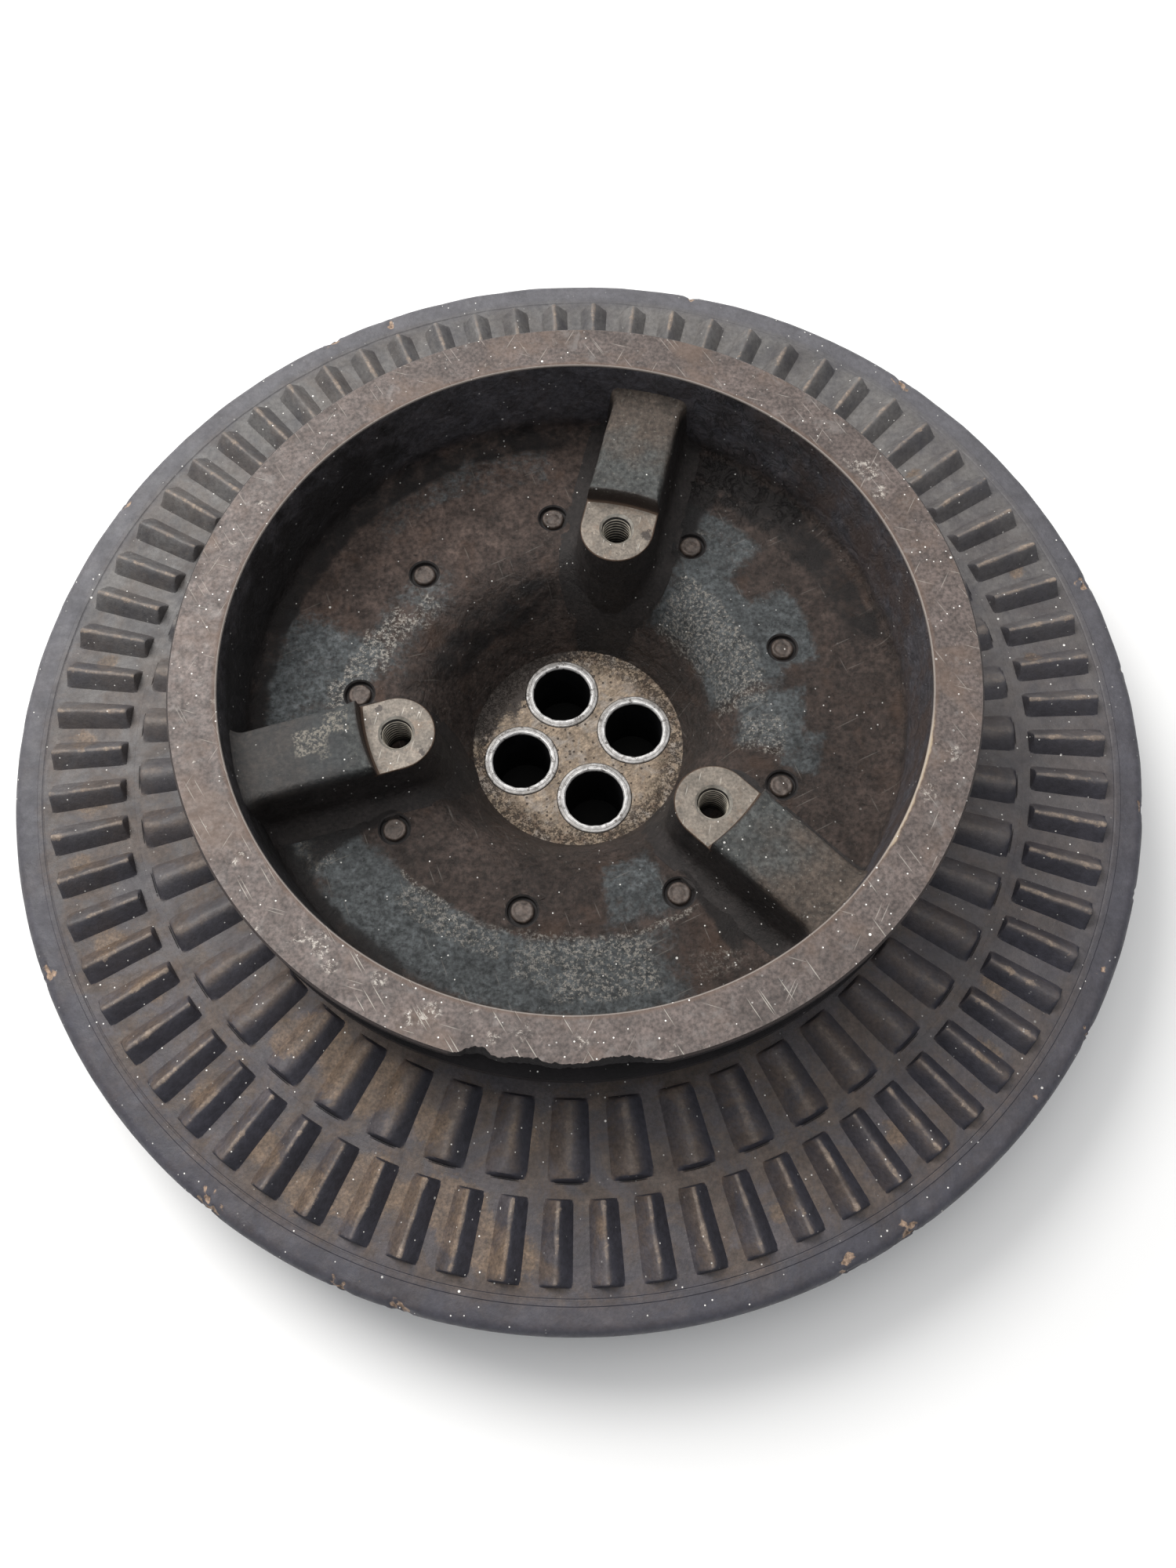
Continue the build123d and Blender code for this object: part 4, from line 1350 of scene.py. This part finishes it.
def machined_ring(colours):
    """Oxidised turned face with scratches, whitish nicks and a worn inner edge, with painted highlights
    along both edges and a painted glint on the worn south-east edge.
    """
    finish = Finish("machined ring", metallic=0.12, specular=0.5)
    colour = finish.tint(plain(colours.ring), (30 * MM, 0.80, 1.12), (5 * MM, 0.76, 1.24),
                         (1.1 * MM, 0.52, 1.42))
    brown = finish.clouds((20 * MM, 6, 0.65, 0.4), 0.48, 0.68, 0.0, 0.55)
    colour = finish.mix(brown, colour, (0.150, 0.100, 0.074))
    grey = finish.clouds((9 * MM, 6, 0.7, 0.5), 0.56, 0.70, 0.0, 0.5)
    colour = finish.mix(grey, colour, (0.215, 0.195, 0.185))
    lines = finish.scratches(-59, 11 * MM, 0.55 * MM, 0.055)
    south = finish.ramp(finish.towards(-95), 0.02, 0.10, 0.35, 1.0)
    lines = finish.both(lines, south)
    for turn, long, thin, share in ((-18, 9 * MM, 0.5 * MM, 0.012), (62, 10 * MM, 0.5 * MM, 0.012)):
        lines = finish.most(lines, finish.both(finish.scratches(turn, long, thin, share), 0.5))
    colour = finish.cover(colour, SCRAPED, lines, 0.7)
    crumbs = finish.clouds((2.6 * MM, 7, 0.8, 0.6), 0.60, 0.68)
    nicks = finish.both(crumbs, finish.clouds((24 * MM, 4, 0.6), 0.50, 0.66))
    flaked = finish.both(finish.clouds((2.2 * MM, 8, 0.85, 0.4), 0.53, 0.57),
                         finish.ramp(finish.mark("nick"), 0.10, 0.5))
    nicks = finish.most(nicks, flaked)
    colour = finish.cover(colour, SCRAPED, nicks, 0.85)
    out = finish.out()
    inner = finish.out(0.45 * MM, 5 * MM)
    east = finish.ramp(finish.towards(-24), 0.0985, 0.1010)
    rusty = finish.both(finish.ramp(inner, 0.1022, 0.1034, 1.0, 0.0), 0.6)
    colour = finish.mix(rusty, colour, (0.105, 0.062, 0.042))
    # The light tan on the south-east inner edge is wear with a painted glint.
    worn = finish.both(finish.ramp(inner, 0.1020, 0.1026, 1.0, 0.0), east)
    colour = finish.cover(colour, (0.42, 0.33, 0.23), worn, 0.9)
    # Painted highlight: thin light lines along the inner and outer edges.
    edge = finish.most(finish.ramp(out, 0.10195, 0.1021, 1.0, 0.0), finish.ramp(out, 0.1151, 0.1153))
    colour = finish.cover(colour, (0.42, 0.39, 0.36), edge, 0.45)
    colour = speckled(finish, colour, 1.0)
    rough = finish.sheen(4 * MM, 0.46, 0.64)
    relief = finish.maths("SUBTRACT", finish.noise(0.9 * MM, 5, 0.7), lines)
    return finish.done(colour, rough, relief, 0.10 * MM)


def groove_iron(colours):
    """Worn groove and lips, near black as painted shade under the lip, and near black where the lip is
    broken as painted shade on the fracture.
    """
    finish = Finish("groove iron", metallic=0.1, specular=0.28)
    # Painted shade: the groove and lips are coloured near black.
    colour = finish.tint((0.0085, 0.0068, 0.0080), (14 * MM, 0.7, 1.5), (1.2 * MM, 0.8, 1.3))
    lip = finish.ramp(finish.parts["Z"], mouth_z - 1.5 * MM, mouth_z - 0.4 * MM)
    colour = finish.cover(colour, plain(colours.ring), lip, 0.35)
    # Painted shade: the broken face of the lip is near black.
    broken = finish.tint((0.012, 0.011, 0.012), (1.5 * MM, 0.5, 1.8))
    colour = finish.mix(finish.mark("broken"), colour, broken)
    return finish.done(speckled(finish, colour, 0.5), 0.58, finish.noise(1.0 * MM, 6, 0.7), 0.25 * MM)


def hub_deposit(colours):
    """Machined hub face under a tan deposit: dark pits, most of them near its edge, brown
    stains, and a painted shadow on its north-west side."""
    finish = Finish("hub face", metallic=0.1, specular=0.4)
    colour = finish.tint(plain(colours.hub), (9 * MM, 0.70, 1.08), (2.2 * MM, 0.66, 1.22),
                         (0.8 * MM, 0.60, 1.30))
    grey = finish.clouds((6 * MM, 6, 0.68, 0.6), 0.46, 0.62, 0.0, 0.7)
    colour = finish.mix(grey, colour, finish.tint((0.30, 0.265, 0.235), (1.4 * MM, 0.7, 1.25)))
    streak = finish.noise(1.0, 5, 0.7, place=finish.stretched(35, 7 * MM, 0.8 * MM))
    colour = finish.shade(colour, finish.ramp(streak, 0.35, 0.65, 0.74, 1.15))
    rim = finish.ramp(finish.out(), 0.022, 0.0345)
    stain = finish.both(finish.clouds((5 * MM, 7, 0.72), 0.44, 0.66), finish.ramp(rim, 0, 1, 0.35, 1.0))
    colour = finish.cover(colour, (0.110, 0.068, 0.044), stain, 0.75)
    holes = finish.most(finish.specks(1.3 * MM, 0.34, 0.16), finish.specks(2.9 * MM, 0.20, 0.26))
    crowded = finish.both(finish.clouds((1.1 * MM, 5, 0.8), 0.50, 0.56),
                          finish.ramp(rim, 0.20, 0.95, 0.0, 1.0))
    pits = finish.most(holes, crowded)
    colour = finish.cover(colour, (0.040, 0.028, 0.021), pits, 0.9)
    # Painted shadow: near black on the north-west side of the hub face.
    side = finish.plus(finish.towards(137), finish.clouds((5 * MM, 7, 0.74), 0.3, 0.7, -0.004, 0.004))
    colour = finish.cover(colour, (0.030, 0.023, 0.020), finish.ramp(side, 0.0225, 0.0260), 0.95)
    relief = finish.maths("SUBTRACT", finish.noise(0.8 * MM, 4, 0.6), pits)
    return finish.done(colour, 0.62, relief, 0.34 * MM)


def back_iron(colours):
    """Cast and turned iron that only shows from below and from the side."""
    finish = Finish("back iron", metallic=0.2, specular=0.5)
    colour = finish.tint(plain(colours.film), (24 * MM, 0.7, 1.3), (3 * MM, 0.75, 1.25))
    rust = finish.clouds((13 * MM, 6, 0.65, 0.6), 0.54, 0.7, 0.0, 0.7)
    colour = finish.mix(rust, colour, (0.115, 0.056, 0.030))
    return finish.done(speckled(finish, colour, 0.4), 0.6, finish.noise(1.3 * MM, 6, 0.7), 0.35 * MM)


def recess_dirt():
    """Black dirt in the recesses round the rivet ends."""
    finish = Finish("recess dirt", specular=0.3)
    colour = finish.tint((0.016, 0.014, 0.014), (2 * MM, 0.7, 1.5))
    return finish.done(colour, 0.7, finish.noise(0.9 * MM, 5, 0.7), 0.3 * MM)


def lug_face(colours):
    """Machined lug faces: mottled, with dark pores, darker patches and fine scratches."""
    finish = Finish("lug face", metallic=0.25, specular=0.5)
    colour = finish.tint(plain(colours.lug), (7 * MM, 0.72, 1.2), (2.0 * MM, 0.74, 1.22),
                         (0.8 * MM, 0.70, 1.30))
    warm = finish.clouds((5 * MM, 6, 0.7, 0.4), 0.52, 0.66, 0.0, 0.6)
    colour = finish.mix(warm, colour, (0.175, 0.125, 0.090))
    stain = finish.clouds((4.2 * MM, 6, 0.7, 0.4), 0.60, 0.70)
    colour = finish.cover(colour, (0.075, 0.062, 0.054), stain, 0.7)
    pores = finish.clouds((1.5 * MM, 6, 0.75), 0.62, 0.68)
    colour = finish.cover(colour, (0.045, 0.037, 0.031), pores, 0.8)
    uneven = finish.both(finish.noise(1.7 * MM, 6, 0.75), 2.0)
    bitten = finish.ramp(finish.plus(finish.mark("chip"), uneven), 1.48, 1.60)
    colour = finish.cover(colour, (0.036, 0.027, 0.023), bitten, 0.92)
    lines = finish.scratches(75, 5 * MM, 0.4 * MM, 0.05)
    colour = finish.cover(colour, (0.5, 0.47, 0.42), lines, 0.5)
    return finish.done(speckled(finish, colour, 0.7), 0.45, finish.noise(0.8 * MM, 5, 0.7), 0.10 * MM)


def bright_edge():
    """Countersink at the mouth of a thread, rubbed bright."""
    finish = Finish("bright edge", metallic=0.6)
    colour = finish.tint((0.58, 0.54, 0.48), (2 * MM, 0.6, 1.1))
    return finish.done(colour, 0.35, finish.noise(0.5 * MM, 4, 0.6), 0.03 * MM)


def thread_iron():
    """Thread: bright crests and dark roots, darkened downwards as painted shade deeper in the hole."""
    finish = Finish("thread iron", metallic=0.2)
    crest = finish.tint((0.66, 0.60, 0.50), (2 * MM, 0.6, 1.2))
    colour = finish.mix(finish.ramp(finish.mark("root"), 0.04, 0.34), crest, (0.014, 0.011, 0.009))
    # Painted shade: the thread darkens downwards into the hole.
    down = finish.ramp(finish.parts["Z"], lug_z - 15 * MM, lug_z - 8 * MM, 0.05, 1.0)
    return finish.done(finish.shade(colour, down), 0.38, finish.noise(0.6 * MM, 4, 0.6), 0.03 * MM)


def bright_steel(colours):
    """Turned steel of the bushes: dull and bright rings, dark nicks and a rubbed inner edge."""
    finish = Finish("bush steel", metallic=0.4, specular=0.6)
    colour = finish.tint(plain(colours.bush), (5 * MM, 0.72, 1.15), (1.1 * MM, 0.74, 1.15))
    across = finish.plus(finish.mark("across"), finish.clouds((3 * MM, 5, 0.6), 0.2, 0.8, -0.10, 0.10))
    ring = finish.both(finish.ramp(across, 0.50, 0.56), finish.ramp(across, 0.68, 0.60))
    colour = finish.cover(colour, (0.11, 0.105, 0.10), ring, 0.85)
    outer = finish.both(finish.ramp(across, 0.60, 0.72), finish.clouds((6 * MM, 5, 0.6), 0.40, 0.60))
    colour = finish.cover(colour, (0.205, 0.190, 0.175), outer, 0.8)
    edge = finish.ramp(across, 0.34, 0.24)
    colour = finish.cover(colour, (0.72, 0.71, 0.70), edge, 0.7)
    nicks = finish.most(finish.clouds((2.6 * MM, 8, 0.82, 0.6), 0.54, 0.58),
                        finish.specks(2.0 * MM, 0.30, 0.30))
    colour = finish.cover(colour, (0.080, 0.070, 0.064), nicks, 0.85)
    rough = finish.sheen(2.5 * MM, 0.36, 0.58)
    return finish.done(colour, rough, finish.noise(0.9 * MM, 5, 0.65), 0.12 * MM)


def painted_shade_bore():
    """Bore of a bush, near black as painted shade inside the hole."""
    finish = Finish("painted shade bore", specular=0.35)
    # Painted shade: near-black colour of the bore.
    colour = finish.tint((0.006, 0.006, 0.007), (6 * MM, 0.6, 1.8))
    return finish.done(colour, 0.45, finish.noise(2 * MM, 5, 0.6), 0.1 * MM)


def rivet_iron():
    """Rivet ends under the same brown film, rubbed lighter on top."""
    finish = Finish("rivet iron", metallic=0.25)
    colour = finish.tint((0.062, 0.046, 0.038), (3 * MM, 0.6, 1.35), (0.8 * MM, 0.6, 1.4))
    return finish.done(speckled(finish, colour, 0.8), 0.5, finish.noise(0.9 * MM, 6, 0.7), 0.15 * MM)


def plate_paint():
    """Black paint on the carrier plate, chipped to rust."""
    finish = Finish("plate paint", specular=0.5)
    colour = finish.tint((0.022, 0.022, 0.024), (20 * MM, 0.8, 1.4))
    rust = finish.clouds((9 * MM, 7, 0.7, 0.6), 0.60, 0.64)
    colour = finish.mix(rust, colour, finish.tint((0.13, 0.058, 0.028), (2 * MM, 0.6, 1.3)))
    return finish.done(colour, finish.ramp(rust, 0, 1, 0.42, 0.8), finish.noise(1.2 * MM, 6, 0.7), 0.2 * MM)


def dusty_rubber(colours, name, crest_wear_and_highlight):
    """Moulded rubber: dust lies on what faces up, and more of it on flanks that face north-west,
    which paints light on them; crests are worn and carry a painted highlight, clay sticks in
    places, the slots at the outer ends of the inner ribs are painted near black as shade and the chipped rim
    shows tan."""
    finish = Finish(name, specular=0.42)
    clean = finish.tint(plain(colours.rubber), (35 * MM, 0.8, 1.3), (2 * MM, 0.8, 1.25))
    dust = finish.tint(plain(colours.dust), (28 * MM, 0.72, 1.15), (5 * MM, 0.80, 1.18),
                       (1.0 * MM, 0.78, 1.22))
    normal = finish.node("SeparateXYZ", finish.node("NewGeometry").outputs["Normal"]).outputs
    # Painted light: the dust mask leans towards flanks that face north-west, so that they come out lighter.
    lean = finish.both(finish.maths("SUBTRACT", normal["Y"], normal["X"]), 0.24)
    up = finish.plus(finish.both(normal["Z"], 0.95), lean)
    north = finish.ramp(finish.towards(100), -0.11, 0.125)
    east = finish.ramp(finish.towards(10), 0.06, 0.15)
    dust = finish.cover(dust, finish.tint((0.130, 0.118, 0.118), (3 * MM, 0.8, 1.2)), east, 0.5)
    dust = finish.mix(north, dust, finish.tint((0.150, 0.143, 0.138), (28 * MM, 0.84, 1.12),
                                               (1.6 * MM, 0.80, 1.22)))
    lies = finish.most(finish.ramp(up, 0.55, 0.88), finish.both(north, 0.88))
    amount = finish.clouds((16 * MM, 7, 0.68, 0.5), 0.28, 0.64, 0.40, 1.0)
    band = finish.ramp(finish.mark("band"), 0, 1, 1.0, 0.55)
    colour = finish.cover(clean, dust, finish.both(lies, amount), band)
    earth = finish.both(finish.clouds((19 * MM, 7, 0.7, 0.5), 0.42, 0.58),
                        finish.ramp(north, 0, 1, 0.85, 0.35))
    earth = finish.both(earth, finish.ramp(finish.towards(215), -0.12, 0.04, 0.30, 1.0))
    brown = finish.tint((0.094, 0.069, 0.055), (6 * MM, 0.72, 1.25), (1.2 * MM, 0.7, 1.3))
    colour = finish.cover(colour, brown, earth, lies)
    band_colour = finish.mix(north, (0.060, 0.059, 0.074), (0.122, 0.120, 0.134))
    band_colour = finish.tint(band_colour, (9 * MM, 0.8, 1.15), (1.5 * MM, 0.85, 1.15))
    colour = finish.cover(colour, band_colour, finish.mark("band"), 0.75)
    patchy = finish.noise(5 * MM, 8, 0.80, 0.4)
    wide = finish.plus(finish.mark("crest"), finish.both(finish.maths("SUBTRACT", patchy, 0.5), 1.3))
    rubbed = finish.both(finish.ramp(wide, 0.98, 1.12), finish.ramp(finish.mark("crest"), 0.55, 0.9))
    # Painted highlight: a light line along the crests, scaled together with the crest wear.
    painted_crest_highlight = finish.both(finish.ramp(finish.mark("crest"), 0.93, 0.995),
                        finish.ramp(patchy, 0.35, 0.55, 0.1, 0.6))
    colour = finish.cover(colour, (0.23, 0.185, 0.155), painted_crest_highlight, crest_wear_and_highlight)
    colour = finish.cover(colour, finish.tint((0.30, 0.235, 0.185), (1.2 * MM, 0.5, 1.4)), rubbed,
                          0.75 * crest_wear_and_highlight)
    clay = finish.plus(finish.both(finish.mark("clay"), 0.60), finish.noise(5 * MM, 9, 0.80, 0.5))
    clay = finish.both(finish.ramp(clay, 0.80, 1.00), finish.ramp(up, 0.66, 0.96))
    colour = finish.cover(colour, finish.tint((0.205, 0.140, 0.092), (4 * MM, 0.55, 1.15),
                                              (0.9 * MM, 0.5, 1.4)), clay, 0.62)
    flecks = finish.both(finish.clouds((2.6 * MM, 7, 0.8, 0.6), 0.66, 0.71), lies)
    colour = finish.cover(colour, (0.25, 0.185, 0.13), flecks, 0.55)
    chip = finish.plus(finish.mark("chip"), finish.noise(1.8 * MM, 7, 0.8))
    colour = finish.cover(colour, finish.tint((0.40, 0.28, 0.20), (1.2 * MM, 0.35, 1.3)),
                          finish.ramp(chip, 0.86, 1.02), 0.9)
    # Painted shade: the slots at the outer ends of the inner ribs are near black.
    colour = finish.cover(colour, (0.008, 0.008, 0.009), finish.mark("slot"), 0.85)
    colour = speckled(finish, colour, 0.55)
    rough = finish.sheen(5 * MM, 0.46, 0.66)
    return finish.done(colour, rough, finish.noise(0.8 * MM, 6, 0.72), 0.14 * MM,
                       finish.noise(9 * MM, 5, 0.6), 0.45 * MM)


# Floor, light and camera

def stage_floor():
    """Pale floor, painted near black as shade only where the hub stands on it."""
    finish = Finish("pale floor", specular=0.2)
    # Painted shade: the floor is near black under the hub, so that the bores look dark.
    under = finish.ramp(finish.out(), 0.047, 0.049, 1.0, 0.0)
    pale = finish.tint((0.93, 0.93, 0.93), (0.2, 0.99, 1.0))
    return finish.done(finish.mix(under, pale, (0.004, 0.004, 0.004)), 0.9)


FLOOR_HALF = 30.0
SKY_COLOUR = (0.93, 0.96, 1.0, 1)
SKY_STRENGTH = 0.32
# Name, diameter, power in watts and place of each soft lamp
LAMPS = (("window", 0.8, 17.0, (-0.66, 0.62, 1.14)), ("ceiling", 1.4, 10.5, (-0.05, 0.15, 1.35)))
LAMP_COLOUR = (1.0, 0.985, 0.96)
FOCAL_LENGTH = 29.7
CAMERA_PLACE = (0.003008, -0.164378, 0.423524)
CAMERA_TILT = 0.36381
CAMERA_ROLL = -0.02414


class PULLEY_OT_stage(bpy.types.Operator):
    """Builds the floor, the soft light from the upper left and the camera"""
    bl_idname = "pulley.stage"
    bl_label = "Stage"

    def execute(self, context):
        scene = context.scene
        mesh = bpy.data.meshes.new("floor")
        corners = [(x * FLOOR_HALF, y * FLOOR_HALF, 0) for x, y in ((-1, -1), (1, -1), (1, 1), (-1, 1))]
        mesh.from_pydata(corners, [], [(0, 1, 2, 3)])
        mesh.materials.append(stage_floor())
        floor = bpy.data.objects.new("floor", mesh)
        scene.collection.objects.link(floor)

        world = bpy.data.worlds.new("studio")
        world.use_nodes = True
        sky = world.node_tree.nodes["Background"].inputs
        sky["Color"].default_value = SKY_COLOUR
        sky["Strength"].default_value = SKY_STRENGTH
        scene.world = world
        for name, size, watts, place in LAMPS:
            lamp = bpy.data.lights.new(name, "AREA")
            lamp.shape = "DISK"
            lamp.size = size
            lamp.energy = watts
            lamp.color = LAMP_COLOUR
            light = bpy.data.objects.new(name, lamp)
            light.location = place
            light.rotation_mode = "QUATERNION"
            light.rotation_quaternion = (-light.location).to_track_quat("-Z", "Y")
            scene.collection.objects.link(light)

        lens = bpy.data.cameras.new("camera")
        lens.lens = FOCAL_LENGTH
        lens.sensor_width = 36
        lens.clip_start = 0.01
        camera = bpy.data.objects.new("camera", lens)
        turn = Matrix.Rotation(CAMERA_TILT, 4, "X") @ Matrix.Rotation(CAMERA_ROLL, 4, "Z")
        camera.matrix_world = Matrix.Translation(CAMERA_PLACE) @ turn
        scene.collection.objects.link(camera)
        scene.camera = camera
        scene.view_settings.view_transform = "Standard"
        return {"FINISHED"}


# Panel and registration

STEPS = (PULLEY_OT_stage, PULLEY_OT_casting, PULLEY_OT_lugs, PULLEY_OT_bushes, PULLEY_OT_rivets,
         PULLEY_OT_carrier, PULLEY_OT_spring_rubber, PULLEY_OT_rib_cover)


class PULLEY_PT_panel(bpy.types.Panel):
    """Sidebar panel with the pieces and their sizes"""
    bl_label = "Belt Pulley"
    bl_idname = "PULLEY_PT_panel"
    bl_space_type = "VIEW_3D"
    bl_region_type = "UI"
    bl_category = "Pulley"

    def draw(self, context):
        for step in STEPS:
            self.layout.operator(step.bl_idname)
        for group in ("pulley_sizes", "damper_sizes", "pulley_colours"):
            settings = getattr(context.scene, group)
            box = self.layout.box()
            for name in settings.__annotations__:
                box.prop(settings, name)


CLASSES = (PulleySizes, DamperSizes, PulleyColours, *STEPS, PULLEY_PT_panel)


def register():
    for kind in CLASSES:
        bpy.utils.register_class(kind)
    bpy.types.Scene.pulley_sizes = PointerProperty(type=PulleySizes)
    bpy.types.Scene.damper_sizes = PointerProperty(type=DamperSizes)
    bpy.types.Scene.pulley_colours = PointerProperty(type=PulleyColours)


def unregister():
    for group in ("pulley_colours", "damper_sizes", "pulley_sizes"):
        delattr(bpy.types.Scene, group)
    for kind in reversed(CLASSES):
        bpy.utils.unregister_class(kind)


def main():
    register()
    bpy.ops.pulley.stage()
    bpy.ops.pulley.casting()
    bpy.ops.pulley.lugs()
    bpy.ops.pulley.bushes()
    bpy.ops.pulley.rivets()
    bpy.ops.pulley.carrier()
    bpy.ops.pulley.spring_rubber()
    bpy.ops.pulley.rib_cover()


if __name__ == "__main__":
    main()
